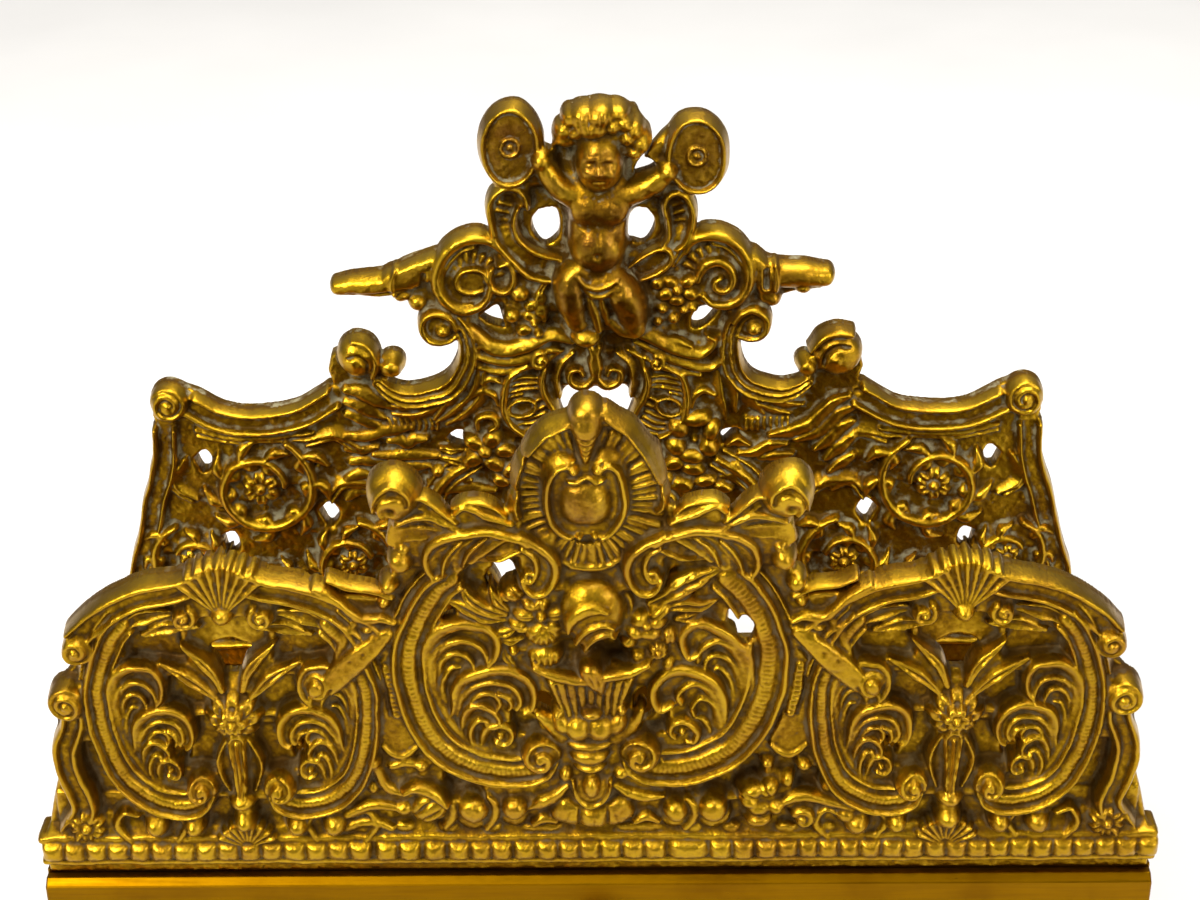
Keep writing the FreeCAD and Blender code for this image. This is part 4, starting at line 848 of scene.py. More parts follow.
    D((591, 720), 2.4, 1.4, 13.8, 10.5, m=0)
    D((557, 718), 1.5, 1.5, 12.2, 8.4, m=0)
    D((621, 714), 1.6, 1.5, 12.2, 8.4, m=0)
    L([(562, 738), (551, 727), (538, 718)], [2.2, 2.0, 1.2], 10.4, 7.4, m=0)
    L([(616, 740), (627, 733), (636, 723), (642, 712)], [2.2, 2.1, 1.7, 1.0], 10.4, 7.4, m=0)
    D((589, 750), 5.0, 1.4, 12.2, 9.0, m=0)
    D((589, 762), 4.4, 2.1, 13.4, 9.0, m=0, p=2.4)
    D((590, 772), 3.6, 1.3, 12.8, 9.0, m=0)
    D((592, 794), 4.6, 4.0, 12.4, 8.8, p=3.0, m=0)
    D((591, 793), 2.1, 3.1, 14.2, 10.6, m=0, k=0.3)
    L([(573, 786), (577, 800), (588, 809), (600, 807), (609, 797), (611, 785)], [0.4, 0.6, 0.7, 0.7, 0.6, 0.4], 12.8, 10.0, m=0)
    D((570, 817), 3.9, 3.6, 11.8, 8.8, rot=-0.45, p=2.4, n=3.0, m=0, k=0.2)
    D((616, 816), 3.8, 3.6, 11.8, 8.8, rot=0.45, p=2.4, n=3.0, m=0, k=0.2)
    D((594, 822), 3.5, 3.1, 12.4, 8.8, p=2.4, n=3.0, m=0, k=0.15)
    f.cuts([[(580, 809), (578, 830)], [(607, 809), (610, 829)]], 0.45, 1.2, 11.4, m=0)
    f.cuts([[(594, 814), (594, 832)], [(571, 811), (565, 826)], [(614, 811), (620, 825)]], 0.25, 0.35, 11.4, m=0)
    D((566, 779), 1.8, 2.3, 12.0, 8.0, m=0)
    D((621, 777), 2.1, 1.8, 12.0, 8.0, m=0)
    L([(614, 786), (628, 794), (646, 799), (664, 800)], [0.9, 1.7, 1.7, 0.6], [10.4, 11.0, 10.8, 9.6], 7.6, m=0)
    L([(568, 788), (556, 797), (542, 804), (528, 812)], [0.9, 1.8, 1.8, 0.7], [10.4, 11.2, 11.0, 9.8], 7.6, m=0)

    # row along the foot: bosses in rings, flowers and short branches
    for c, r in (((473, 817), 3.4), ((514, 815), 3.0), ((676, 817), 2.9), ((714, 816), 3.3)):
        D(c, r + 0.7, r + 0.6, 9.0, 7.2, m=0, p=4.0)
        D(c, r, r, 12.6, 8.8, m=0, p=2.4, k=0.2)
    D((428, 815), 4.4, 3.8, 12.0, 8.2, p=2.6, m=0)
    L([(404, 797), (414, 793), (426, 795), (437, 801), (447, 810)], [1.0, 1.7, 1.8, 1.7, 0.9], 12.6, 8.4, m=0, k=0.3)
    f.cuts([[(412, 819), (424, 808), (434, 803)], [(418, 826), (429, 818), (440, 812)], [(430, 829), (438, 822), (444, 818)]], 0.5, 1.1, 11.6, m=0)
    D((403, 812), 2.1, 2.0, 11.0, 7.6, m=0)
    for pts, w_, tp in (([(347, 818), (360, 812), (374, 808), (390, 808), (404, 812)], [1.3, 1.6, 1.6, 1.5, 1.0], 10.4),
                        ([(347, 831), (362, 825), (378, 826), (392, 831)], [1.3, 1.5, 1.5, 1.0], 9.8),
                        ([(371, 764), (378, 774), (384, 785), (394, 793), (404, 796)], [1.0, 1.5, 1.6, 1.5, 1.0], 10.6),
                        ([(392, 769), (406, 765), (420, 767)], [1.2, 1.6, 1.2], 10.2),
                        ([(446, 829), (453, 820), (453, 808), (445, 799)], [1.0, 1.4, 1.4, 0.8], 10.2),
                        ([(487, 830), (494, 821), (495, 808), (488, 799)], [1.0, 1.3, 1.3, 0.8], 10.2),
                        ([(686, 830), (694, 821), (695, 809), (688, 801)], [1.0, 1.3, 1.3, 0.8], 10.2),
                        ([(535, 826), (546, 820), (557, 823)], [1.0, 1.5, 0.9], 10.2),
                        ([(635, 824), (646, 819), (658, 823)], [1.0, 1.5, 0.9], 10.2),
                        ([(780, 806), (792, 801), (808, 800), (828, 804), (853, 810)], [1.2, 1.6, 1.6, 1.5, 1.2], 10.6)):
        L(pts, w_, tp, 7.2, m=0)
    for c, rx, rz, tp in (((374, 767), 1.7, 1.7, 11.4), ((421, 770), 1.8, 1.7, 11.2), ((776, 812), 2.2, 2.1, 12.2), ((847, 819), 2.4, 2.4, 11.2), ((788, 784), 1.8, 2.3, 10.8),
                          ((768, 766), 1.7, 1.6, 11.0), ((804, 769), 1.8, 1.7, 11.0), ((373, 790), 1.6, 1.9, 10.2), ((828, 788), 1.7, 1.9, 10.2)):
        D(c, rx, rz, tp, 7.4, m=0)
    for c, rx, rz, r in (((752, 797), 2.9, 2.0, 0.4), ((769, 793), 2.6, 2.1, 0.9), ((750, 806), 2.4, 1.8, -0.2), ((759, 812), 2.9, 1.9, 0.0), ((759, 824), 3.2, 1.7, 0.1)):
        D(c, rx, rz, 12.2, 8.2, rot=r, m=0, p=2.4, k=0.25)
    f.cuts([[(744, 795), (757, 801)], [(762, 787), (771, 800)], [(747, 818), (771, 818)]], 0.4, 0.9, 11.8, m=0)
    f.curl((804, 822), 2.3, 1.1, 150, 1, [1.3, 1.2, 0.9], [10.6, 10.8, 11.0], 7.2, m=0)
    for u, w_ in ((640, 5.0), (694, 2.0), (732, 2.1), (786, 2.6), (826, 2.4), (362, 2.6), (404, 2.2), (448, 2.2), (493, 2.0), (542, 4.6)):
        D((u, 829), w_, 1.4, 8.8, 7.4, m=0, p=3.0)

    # side bays: the same scrolls on a narrower plan round a rosette
    f.places = [(0.74, 0.95, 93.5, -78.0, 84.0, 0.84, 1), (0.74, 0.95, 93.5, -78.0, 84.0, 0.84, -1)]
    bay(ring_l, stem_l)
    scrolls(1)
    f.places = [None]
    f.flower((-78.0, 86.5), 6.2, 12.2, 6.5, 8, mm=True)
    f.flower((-78.0, 86.5), 3.4, 13.8, 10.0, 6, a0=60, mm=True)
    for c in (1, -1):
        L([(-78 + c * 3.5, 91.0), (-78 + c * 8.0, 96.0), (-78 + c * 15.0, 100.0)], [0.7, 2.0, 0.4], [10.0, 10.6, 9.2], 6.0, "leaf", mm=True)
        L([(-78 + c * 2.0, 93.0), (-78 + c * 4.5, 99.0), (-78 + c * 10.0, 104.5)], [0.7, 1.7, 0.4], [10.0, 10.4, 9.2], 6.0, "leaf", mm=True)
        L([(-78 + c * 1.5, 81.0), (-78 + c * 4.0, 74.0), (-78 + c * 2.6, 67.0)], [0.9, 1.5, 0.7], [10.2, 10.8, 10.2], 6.0, "fold" if c > 0 else "foldr", mm=True)
    L([(-78.0, 80.0), (-78.0, 66.0)], [2.6, 2.0, 1.4], [11.6, 11.8, 12.0], 6.5, "reed3", mm=True)
    D((-78.0, 64.5), 3.4, 2.2, 12.6, 7.0, mm=True)
    D((-78.0, 59.0), 3.0, 2.8, 12.8, 7.0, mm=True)

    # hood over each side bay, shell in its middle
    for c in (1, -1):
        br = [(-78 + c * 32.0, 106.5), (-78 + c * 28.0, 110.5), (-78 + c * 22.0, 114.8), (-78 + c * 15.0, 117.6), (-78 + c * 9.0, 118.8),
              (-78 + c * 3.0, 121.4)]
        L(br, [1.6, 2.3, 2.5, 2.2, 1.6, 1.0], 8.8, 5.0, "hollow", mm=True, rib=(1.7, 0.8))
        L(br, [0.9, 1.2, 1.2, 1.0], 11.4, 6.5, mm=True, off=-c * 2.3)
        L(br, [0.8, 1.0, 1.0, 0.8], 10.8, 6.0, mm=True, off=c * 2.0)
        L([(-78 + c * 24, 108.2), (-78 + c * 17.0, 111.5), (-78 + c * 10.0, 112.5)], [0.6, 2.1, 0.4], [9.4, 10.4, 9.0], 5.0, "hollow", mm=True)
        L([(-78 + c * 18, 106.5), (-78 + c * 12.0, 108.5), (-78 + c * 6.0, 108.0)], [0.6, 1.8, 0.4], [9.4, 10.2, 9.0], 5.0, "hollow", mm=True)
        f.curl((-78 + c * 8.4, 112.6), 2.6, 1.2, 90 + c * 40, -c, [1.2, 1.0, 0.8], [11.6, 11.8, 12.2], 6.5, mm=True)
    f.roll((-109.6, 104.6), 3.6, 12.2, 6.5, turns=1.3, a0=120, cw=1, mm=True)
    f.fan((-78.0, 112.6), 2.0, 12.2, 40, 140, 9, 11.4, 6.5, mm=True)
    D((-78.0, 113.2), 2.7, 2.7, 13.2, 7.0, mm=True)

    # plates between the bays, with a pebbled strip
    W([(787, 638), (797, 648), (812, 666), (820, 676), (813, 690), (811, 715), (812, 738), (806, 748), (797, 755), (787, 757), (778, 752), (771, 744), (780, 722),
       (787, 700), (790, 680), (789, 658)], 9.0)
    L([(772, 746), (780, 753), (789, 756), (798, 753), (807, 745)], [0.6, 1.0, 1.2, 1.0, 0.6], 9.9, 7.5)
    L([(801, 668), (796, 690), (791, 714)], [1.0, 1.2, 1.0], 10.3, 9.0, "flat", rib=(1.25, 0.6))
    L([(807, 664), (803, 690), (798, 714)], [0.4, 0.55, 0.4], [0.6, 1.1, 0.6], cut=True, hh=9.4)

    # branch and strap that run from the middle ring to the next bay
    W([(793, 600), (815, 592), (840, 590), (860, 586), (866, 598), (842, 612), (832, 618), (800, 622), (792, 612)], 8.4)
    L([(800, 606), (818, 603), (838, 602), (856, 594)], [1.4, 2.2, 2.2, 1.6], [9.0, 9.2, 9.2, 9.2], 7.4, "hollow")
    L([(792, 623), (803, 619), (815, 620), (828, 618), (834, 613), (844, 604), (858, 594), (872, 588)], [0.9, 1.4, 1.5, 1.4, 1.3, 1.2, 1.2, 0.8], 11.4, 8.0)
    L([(793, 598), (812, 591), (836, 588), (858, 580)], [0.7, 0.9, 0.9, 0.7], 10.2, 7.5)
    L([(799, 636), (812, 646), (826, 656), (840, 668), (856, 682), (866, 690)], [1.4, 2.4, 2.9, 3.0, 2.9, 2.6], [11.4, 12.2, 12.4, 12.2, 12.0, 11.8], 9.2, "flat")
    D((870, 690), 3.6, 3.6, 13.0, 8.6, p=2.6)
    L([(858, 690), (863, 701), (873, 704), (882, 697), (882, 686), (874, 680), (866, 684), (866, 692), (872, 695)], [0.4, 0.5, 0.55, 0.55, 0.5, 0.5, 0.45, 0.4, 0.35], [0.8, 1.1, 1.2, 1.2, 1.1, 1.0, 0.9, 0.8, 0.6], cut=True, hh=12.6)
    L([(832, 622), (840, 634), (846, 648), (852, 662)], [1.2, 1.5, 1.4, 0.9], 10.4, 7.5)
    for c, rx, rz, r in (((804, 634), 2.3, 1.2, -0.5), ((813, 637), 2.2, 1.3, -0.8), ((818, 630), 1.9, 1.1, -0.3), ((809, 645), 1.6, 1.0, -0.9)):
        D(c, rx, rz, 11.6, 8.6, rot=r, k=0.3)
    f.lift((824, 654), 0.55, 0.5, -0.5, hh=12.4)
    f.lift((838, 661), 0.4, 0.36, -0.5, hh=12.4)

    # end of the casting
    es = [(-117.5, 55.0), (-113.5, 62.0), (-115.2, 70.0), (-115.8, 78.0), (-113.2, 85.0), (-113.0, 90.0)]
    L(es, [1.4, 2.0, 2.2, 2.0, 1.6], 8.4, 5.0, "hollow", mm=True, rib=(1.6, 0.8))
    L(es, [0.8, 1.1, 1.1, 0.9], 10.4, 6.0, mm=True, off=2.2)
    L(es, [0.8, 1.1, 1.1, 0.9], 10.8, 6.0, mm=True, off=-2.0)
    f.roll((-113.6, 91.0), 4.4, 12.6, 6.0, turns=1.6, a0=-40, cw=-1, mm=True)
    f.flower((-113.5, 57.0), 4.2, 11.2, 6.0, 6, mm=True)
    for x, r in ((-98.0, 3.0), (-89.5, 2.6), (-66.5, 2.6), (-58.0, 3.0)):
        D((x, 57.5), r, r, 12.4, 7.0, mm=True)
    f.fan((-78.0, 51.4), 1.6, 6.6, 15, 165, 9, 10.6, 6.5, mm=True)
    for c in (1, -1):
        L([(-78 + c * 26.0, 52.4), (-78 + c * 29.0, 56.8), (-78 + c * 27.0, 60.6), (-78 + c * 24.0, 59.6)], [0.9, 1.3, 1.1, 0.8], 9.8, 6.0, mm=True)
        L([(-78 + c * 15.6, 53.0), (-78 + c * 13.6, 57.0), (-78 + c * 15.8, 60.6)], [0.9, 1.3, 0.8], 9.6, 6.0, mm=True)

    f.behind((745, 633), 4.5, 4.5, 7.5, m=0, hh=8.5)
    f.hole([(736, 619), (746, 616), (753, 620), (753, 637), (746, 641), (739, 637)], m=0, h=8.5)
    return f


# ------------------------------------------------------------------ back casting
def back_casting():
    f = Relief(50.5, -126.0, 126.0, 43.0, 201.0)
    L, D, W = f.line, f.dome, f.web
    half = [
        (0.0, 196.0), (-3.9, 195.5), (-7.0, 193.0), (-9.0, 188.0), (-9.4, 182.5), (-11.6, 182.0), (-14.0, 186.0),
        (-18.2, 190.0), (-22.0, 188.0), (-23.0, 184.0), (-22.0, 178.0), (-21.5, 175.0), (-23.6, 172.0),
        (-24.2, 168.0), (-22.6, 163.0), (-28.0, 163.0), (-33.0, 161.0), (-35.6, 158.6), (-38.0, 156.5), (-45.8, 155.0),
        (-53.0, 153.0), (-56.0, 150.5), (-54.0, 148.6), (-48.0, 148.0), (-43.0, 146.5), (-38.5, 144.5), (-37.0, 138.0),
        (-33.0, 137.5), (-31.6, 133.0), (-33.2, 128.5), (-37.5, 124.6),
        (-46.2, 123.2), (-50.5, 124.5), (-50.0, 129.1), (-53.0, 132.0), (-56.5, 135.0), (-60.0, 136.0), (-64.0, 132.0),
        (-65.0, 128.0), (-64.0, 124.5), (-69.0, 120.5), (-77.0, 117.4), (-86.0, 117.0), (-93.0, 119.0), (-98.0, 122.8),
        (-102.0, 125.0), (-107.0, 124.5), (-109.0, 121.0), (-109.0, 116.0), (-107.4, 110.0), (-110.4, 100.0), (-114.0, 90.0),
        (-117.0, 80.0), (-120.0, 68.0), (-122.5, 56.0), (-123.9, 52.0), (-123.9, 38.0)]
    W(full(half), 5.4, m=0, mm=True, smooth=False)

    # piercings
    for h in ([(-12.6, 169.3), (-8.9, 169.7), (-7.9, 166.7), (-8.6, 162.2), (-11.4, 160.7), (-13.9, 163.3), (-14.3, 166.8)],
              [(-36.8, 109.4), (-34.3, 111.4), (-30.8, 110.5), (-31.5, 107.5), (-35.2, 107.2)],
              [(-26.0, 79.0), (-21.0, 81.0), (-17.5, 77.0), (-18.5, 71.0), (-24.0, 69.5), (-28.0, 73.5)],
              [(-70.0, 89.0), (-67.0, 91.5), (-65.0, 88.0), (-67.5, 84.5)], [(-95.0, 82.0), (-92.0, 83.0), (-91.0, 78.5), (-93.5, 76.5)],
              [(-100.0, 104.0), (-97.0, 106.5), (-95.5, 103.0), (-98.0, 100.0)], [(-84.0, 66.0), (-80.5, 67.5), (-79.5, 63.5), (-82.5, 61.5)],
              [(-73.0, 105.5), (-69.5, 107.5), (-68.0, 104.0), (-71.0, 102.0)], [(-52.0, 62.0), (-49.0, 64.0), (-47.5, 60.5), (-50.0, 58.5)],
              [(-10.0, 98.0), (-4.5, 99.0), (-3.2, 92.0), (-4.5, 84.0), (-9.5, 83.0), (-13.0, 90.0)]):
        f.hole(h, mm=True)
    f.hole([(488, 560), (520, 556), (522, 586), (490, 588)], m=0, h=6.0)
    f.hole([(728, 620), (758, 618), (762, 642), (732, 644)], m=0, h=6.0)
    f.hole([(480, 318), (488, 311), (496, 306), (502, 316), (506, 328), (497, 327), (489, 324)], m=0, h=6.0)
    f.hole([(690, 322), (700, 309), (718, 309), (713, 318), (701, 328), (693, 329)], m=0, h=6.0)
    f.hole([(633, 176), (640, 163), (650, 160), (657, 166), (648, 174), (640, 179)], m=0, h=8.0)
    f.hole([(-9.2, 120.6), (-5.3, 124.4), (0.0, 123.4), (5.3, 124.4), (9.2, 120.6), (7.4, 115.0), (0.0, 113.0), (-7.4, 115.0)], m=0, mm=True)

    # rail at the foot
    W([(-124.5, 36.0), (124.5, 36.0), (124.5, 50.4), (-124.5, 50.4)], 5.6, m=0, mm=True, smooth=False)
    L([(-124.5, 49.4), (124.5, 49.4)], 1.0, 7.0, 5.0, m=0, mm=True)

    # lower panel: scroll bars, ribbed edge
    def rinceau(c, r, turns, a0, cw, n):
        """A spiral stem with leaves along it and a flower in its eye."""
        c = np.array(c)
        th = np.linspace(0, turns * 2 * math.pi, 40)
        rad = r * np.linspace(1.0, 0.42, 40)
        ang = math.radians(a0) - cw * th
        stem = np.stack([c[0] + rad * np.cos(ang), c[1] + rad * np.sin(ang)], 1)
        for i in range(n):
            k = 2 + int(34 * i / n)
            p, go = stem[k], stem[k + 1] - stem[k - 1]
            go = go / np.hypot(*go)
            out = (p - c) / np.hypot(*(p - c))
            for side, ln in ((1, 0.36 * r), (-1, 0.24 * r)):
                L([p, p + side * 0.55 * ln * out + 0.45 * ln * go, p + side * 0.75 * ln * out + 1.25 * ln * go], [0.9, 0.13 * r, 0.4], [8.4, 8.8, 7.4], 5.8, mm=True)
        L(stem, [1.0, 1.5, 1.6, 1.3, 1.0], [8.8, 9.4, 9.4, 9.0], 5.8, mm=True)
        f.flower((c[0], c[1]), 0.34 * r, 9.8, 6.0, 6, mm=True)

    rinceau((-83.5, 97.0), 14.0, 1.15, 60, 1, 9)
    rinceau((-103.0, 76.0), 10.0, 1.1, 110, -1, 8)
    rinceau((-62.0, 75.0), 12.0, 1.15, 80, 1, 8)
    rinceau((-83.0, 66.0), 9.0, 1.1, -60, -1, 7)
    rinceau((-46.0, 64.0), 8.0, 1.1, 20, 1, 7)
    low = [(-30.0, 104.0), (-38.0, 98.0), (-41.0, 90.0), (-38.0, 80.0), (-31.0, 72.0), (-28.0, 64.0), (-31.0, 54.0)]
    L(low, [1.2, 1.8, 2.0, 1.9, 1.5], 8.6, 4.5, mm=True)
    L(low, [0.7, 0.9, 0.9, 0.7], 7.6, 4.0, mm=True, off=2.4)
    L(low, [0.6, 0.8, 0.8, 0.6], 7.4, 4.0, mm=True, off=-2.6)
    f.curl((-16.5, 92.0), 5.6, 1.5, 120, -1, [1.8, 1.5, 1.0], [8.8, 8.8, 9.4], 4.5, mm=True)
    L([(0.0, 108.0), (-5.5, 104.0), (-14.0, 101.0), (-22.0, 97.0)], [1.4, 1.8, 1.7, 1.0], 8.4, 4.5, "fold", mm=True)
    L([(0.0, 82.0), (-8.0, 79.0), (-14.0, 72.0), (-14.0, 62.0), (-8.0, 55.0)], [1.2, 1.7, 1.8, 1.6, 1.2], 8.4, 4.5, mm=True)
    f.flower((0.0, 70.0), 6.5, 9.5, 5.0, 8, m=0, mm=True)
    wing = [(-64.0, 121.5), (-72.0, 116.6), (-83.0, 114.6), (-92.0, 115.8), (-99.0, 119.6)]
    L(wing, [1.8, 2.2, 2.2, 1.9], 7.0, 4.0, "hollow", mm=True, rib=(1.9, 0.8))
    L(wing, 1.0, 9.2, 5.0, mm=True, off=2.3)
    L(wing, 0.9, 8.8, 5.0, mm=True, off=-2.3)
    f.roll((-104.0, 120.6), 4.9, 10.2, 5.0, turns=1.6, a0=200, cw=1, mm=True)
    edge = [(-106.0, 113.0), (-106.8, 104.0), (-110.0, 94.0), (-113.0, 83.0), (-116.5, 71.0), (-119.5, 56.0)]
    L(edge, 2.0, 6.6, 4.0, "hollow", mm=True, rib=(1.9, 0.8))
    L(edge, 0.9, 8.8, 4.5, mm=True, off=-2.4)
    L(edge, 0.8, 8.2, 4.5, mm=True, off=2.2)
    for pts in ([(-58.0, 108.0), (-64.0, 112.0), (-72.0, 110.0)], [(-96.0, 64.0), (-93.0, 58.0), (-96.0, 53.0)], [(-62.0, 60.0), (-64.0, 56.0), (-70.0, 54.0)],
                [(-70.0, 112.0), (-80.0, 111.5), (-90.0, 111.5), (-98.0, 113.0)], [(-20.0, 62.0), (-24.0, 58.0), (-22.0, 53.0)],
                [(-50.0, 92.0), (-56.0, 98.0), (-64.0, 98.0), (-68.0, 93.0)], [(-100.0, 94.0), (-104.0, 98.0), (-102.0, 104.0)]):
        L(pts, [1.0, 1.8, 1.7, 1.0], 8.0, 4.5, "fold", mm=True)
        L(pts, [0.5, 0.8, 0.8, 0.5], 7.2, 4.2, mm=True, off=2.1)

    # shells beside the middle opening
    W([(507, 376), (504, 396), (506, 416), (516, 430), (540, 442), (560, 436), (556, 412), (547, 396), (545, 376)], 5.4)
    for a in ([(508, 383), (526, 378), (544, 379)], [(507, 388), (526, 384), (543, 384)], [(506, 394), (524, 390), (542, 389)], [(506, 400), (512, 397), (522, 395)],
              [(512, 420), (528, 420), (546, 413)], [(516, 426), (532, 425), (549, 418)], [(520, 431), (536, 430), (552, 422)], [(526, 436), (540, 435), (556, 427)],
              [(536, 402), (544, 398), (548, 395)], [(537, 410), (545, 406), (551, 403)]):
        L(a, [0.5, 0.7, 0.5], 7.4, 5.0)
    L([(528, 367), (517, 374), (508, 381), (504, 396), (505, 412), (511, 427), (521, 436), (532, 441)], [0.7, 0.9, 1.1, 1.2, 1.2, 1.0, 0.8], 9.0, 5.0)
    L([(545, 373), (543, 386), (547, 400), (554, 411), (562, 428)], [0.9, 1.2, 1.3, 1.2, 0.9], 9.0, 5.0)
    t = np.radians(np.linspace(0, 360, 33))
    q = f.px([(523, 409)], 7.6)[0]
    L(np.stack([q[0] + 3.1 * np.cos(t), q[1] + 2.3 * np.sin(t) + 0.5 * np.cos(t)], 1), 0.6, 8.2, 5.4, mm=True)
    f.lift((523, 409), 1.9, 1.3, -1.0, hh=7.5)

    # inner pair of curls over the opening
    L([(591, 350), (597, 366), (594, 380), (583, 389), (571, 384), (570, 373), (578, 371), (582, 377)], [1.3, 1.8, 1.9, 1.7, 1.4, 1.1, 0.8],
      [9.2, 9.8, 10.0, 10.0, 10.2], 5.0)
    L([(571, 355), (559, 365), (555, 382), (559, 400)], [0.9, 1.4, 1.4, 0.8], 8.8, 5.0, "fold")
    L([(562, 352), (549, 362), (546, 374)], [0.7, 1.1, 0.7], 8.2, 5.0)

    # leaf and water lines behind the front panel, left
    for pts, w_, tp in (([(347, 392), (362, 394), (378, 402), (392, 412)], [1.0, 1.7, 1.6, 0.5], [8.2, 8.6, 8.4, 7.2]),
                        ([(347, 404), (360, 407), (374, 414), (384, 421)], [1.0, 1.6, 1.5, 0.5], [7.8, 8.2, 8.0, 7.0]),
                        ([(347, 416), (360, 419), (372, 425), (382, 429)], [1.0, 1.5, 1.3, 0.5], [7.4, 7.8, 7.6, 6.8]),
                        ([(347, 438), (364, 438), (382, 433), (398, 432), (412, 430)], [0.8, 1.2, 1.3, 1.2, 0.6], [7.4, 7.8, 7.8, 7.2]),
                        ([(388, 443), (399, 442), (407, 446), (414, 442), (426, 440)], [0.7, 1.2, 1.2, 1.1, 0.6], 7.8),
                        ([(374, 456), (392, 458), (412, 457), (438, 457)], [0.7, 1.2, 1.2, 0.7], 7.6),
                        ([(347, 450), (362, 451), (376, 448)], [0.8, 1.2, 0.6], 7.2),
                        ([(350, 464), (366, 462), (384, 466)], [0.8, 1.3, 0.6], 7.2),
                        ([(398, 466), (414, 468), (430, 466)], [0.7, 1.2, 0.6], 7.2),
                        ([(424, 494), (444, 491), (464, 489), (494, 492)], [0.7, 1.3, 1.3, 0.7], 7.8),
                        ([(430, 483), (450, 481), (470, 481)], [0.7, 1.2, 0.6], 7.4),
                        ([(347, 480), (360, 476), (372, 478)], [0.8, 1.3, 0.6], 7.4),
                        ([(347, 500), (357, 493), (366, 494)], [0.8, 1.3, 0.6], 7.4)):
        L(pts, [1.35 * q for q in w_], tp, 5.6, "lober", m=0)
    for i in range(9):
        u = 388 + 6 * i
        L([(u, 420), (u + 2, 426), (u + 1, 432)], [0.35, 0.5, 0.3], 7.0, 4.6, m=0)
    for pts in ([(442, 460), (454, 463), (468, 467)], [(445, 472), (458, 473), (470, 470)], [(440, 450), (452, 453), (462, 452)]):
        L(pts, [0.6, 1.4, 0.5], [7.6, 8.2, 7.4], 4.8, "leaf", m=0)
    D((438, 474), 1.9, 1.9, 9.0, 5.2, m=0)
    for c, rx, rz, r in (((474, 447), 2.6, 1.6, -0.5), ((491, 443), 2.4, 1.8, 0.6), ((504, 454), 2.4, 1.6, -0.2), ((494, 467), 2.6, 1.7, -0.6), ((473, 463), 2.6, 1.7, 0.5)):
        D(c, 1.3 * rx, 1.35 * rz, 9.8, 6.0, rot=r, m=0, p=2.3, k=0.25)
        f.lift(c, 1.3, 0.8, -0.6, rot=r, m=0, hh=9.4)
    D((484, 455), 2.0, 2.0, 10.6, 7.0, m=0)
    L([(477, 432), (477, 422), (485, 418), (495, 420), (497, 428), (490, 432)], [0.8, 1.1, 1.2, 1.1, 0.8], [8.8, 9.0, 9.2], 5.0, m=0)
    for c, rx, rz, r in (((512, 474), 3.2, 2.3, 0.5), ((523, 490), 2.8, 2.4, -0.3), ((501, 484), 2.8, 1.9, -0.5), ((516, 500), 2.6, 2.0, 0.2)):
        D(c, rx, rz, 9.4, 5.8, rot=r, m=0, p=2.3, k=0.25)
        f.lift(c, 1.2, 0.8, -0.6, rot=r, m=0, hh=9.2)
    L([(470, 398), (482, 392), (494, 396), (499, 406)], [0.8, 1.2, 1.2, 0.7], 7.8, 4.6, m=0)
    L([(482, 384), (492, 380), (500, 384)], [0.7, 1.2, 0.6], 7.8, 4.6, m=0)

    # and right
    for c, rx, rz, r in (((697, 422), 3.4, 1.9, 0.1), ((679, 432), 2.2, 2.4, 0.5), ((676, 450), 2.4, 2.2, -0.5), ((691, 459), 3.3, 1.8, -0.1), ((709, 450), 2.2, 2.4, 0.4),
                         ((712, 433), 1.8, 2.4, -0.4)):
        D(c, 1.25 * rx, 1.3 * rz, 9.8, 6.0, rot=r, m=0, p=2.3, k=0.3)
    f.lift((695, 440), 2.0, 1.8, -1.6, m=0, hh=8.0)
    D((695, 441), 1.2, 1.2, 8.4, 5.0, m=0)
    for c, rx, rz, r in (((674, 467), 3.2, 2.2, 0.4), ((693, 472), 3.6, 2.1, -0.2), ((664, 483), 2.9, 2.5, 0.3), ((683, 488), 3.3, 2.3, -0.4), ((706, 484), 3.2, 1.9, 0.2),
                         ((724, 490), 3.0, 1.9, -0.2)):
        D(c, rx, rz, 9.4, 5.8, rot=r, m=0, p=2.3, k=0.25)
        f.lift(c, 1.3, 0.8, -0.6, rot=r, m=0, hh=9.2)
    for pts, w_, tp in (([(722, 466), (734, 468), (746, 474)], [0.6, 1.6, 0.5], [7.8, 8.6, 7.4]), ([(722, 478), (735, 478), (747, 482)], [0.6, 1.5, 0.5], [7.6, 8.2, 7.2]),
                        ([(740, 456), (755, 455), (770, 448), (786, 446)], [0.7, 1.3, 1.3, 0.7], 8.2),
                        ([(770, 438), (790, 435), (810, 428), (825, 415), (836, 405), (850, 399)], [0.7, 1.4, 1.6, 1.6, 1.4, 0.8], 8.8),
                        ([(796, 442), (812, 438), (828, 428), (840, 416), (853, 410)], [0.7, 1.4, 1.6, 1.5, 0.9], 8.4),
                        ([(815, 452), (828, 444), (840, 432), (853, 424)], [0.7, 1.6, 1.6, 0.9], 8.2),
                        ([(826, 462), (838, 452), (853, 440)], [0.7, 1.6, 0.9], 8.0),
                        ([(830, 474), (842, 466), (853, 458)], [0.7, 1.4, 0.9], 7.8),
                        ([(760, 460), (776, 458), (792, 456)], [0.7, 1.2, 0.6], 7.6),
                        ([(728, 447), (738, 444), (750, 446)], [0.6, 1.4, 0.5], 8.0),
                        ([(833, 490), (843, 484), (853, 482)], [0.7, 1.3, 0.8], 7.6)):
        L(pts, [1.35 * q for q in w_], tp, 5.6, "lobe", m=0)
    for i in range(8):
        u = 746 + 6 * i
        L([(u, 419), (u - 1, 425), (u, 431)], [0.35, 0.5, 0.3], 7.0, 4.6, m=0)
    L([(714, 396), (704, 392), (695, 398), (692, 408)], [0.8, 1.2, 1.2, 0.7], 7.8, 4.6, m=0)

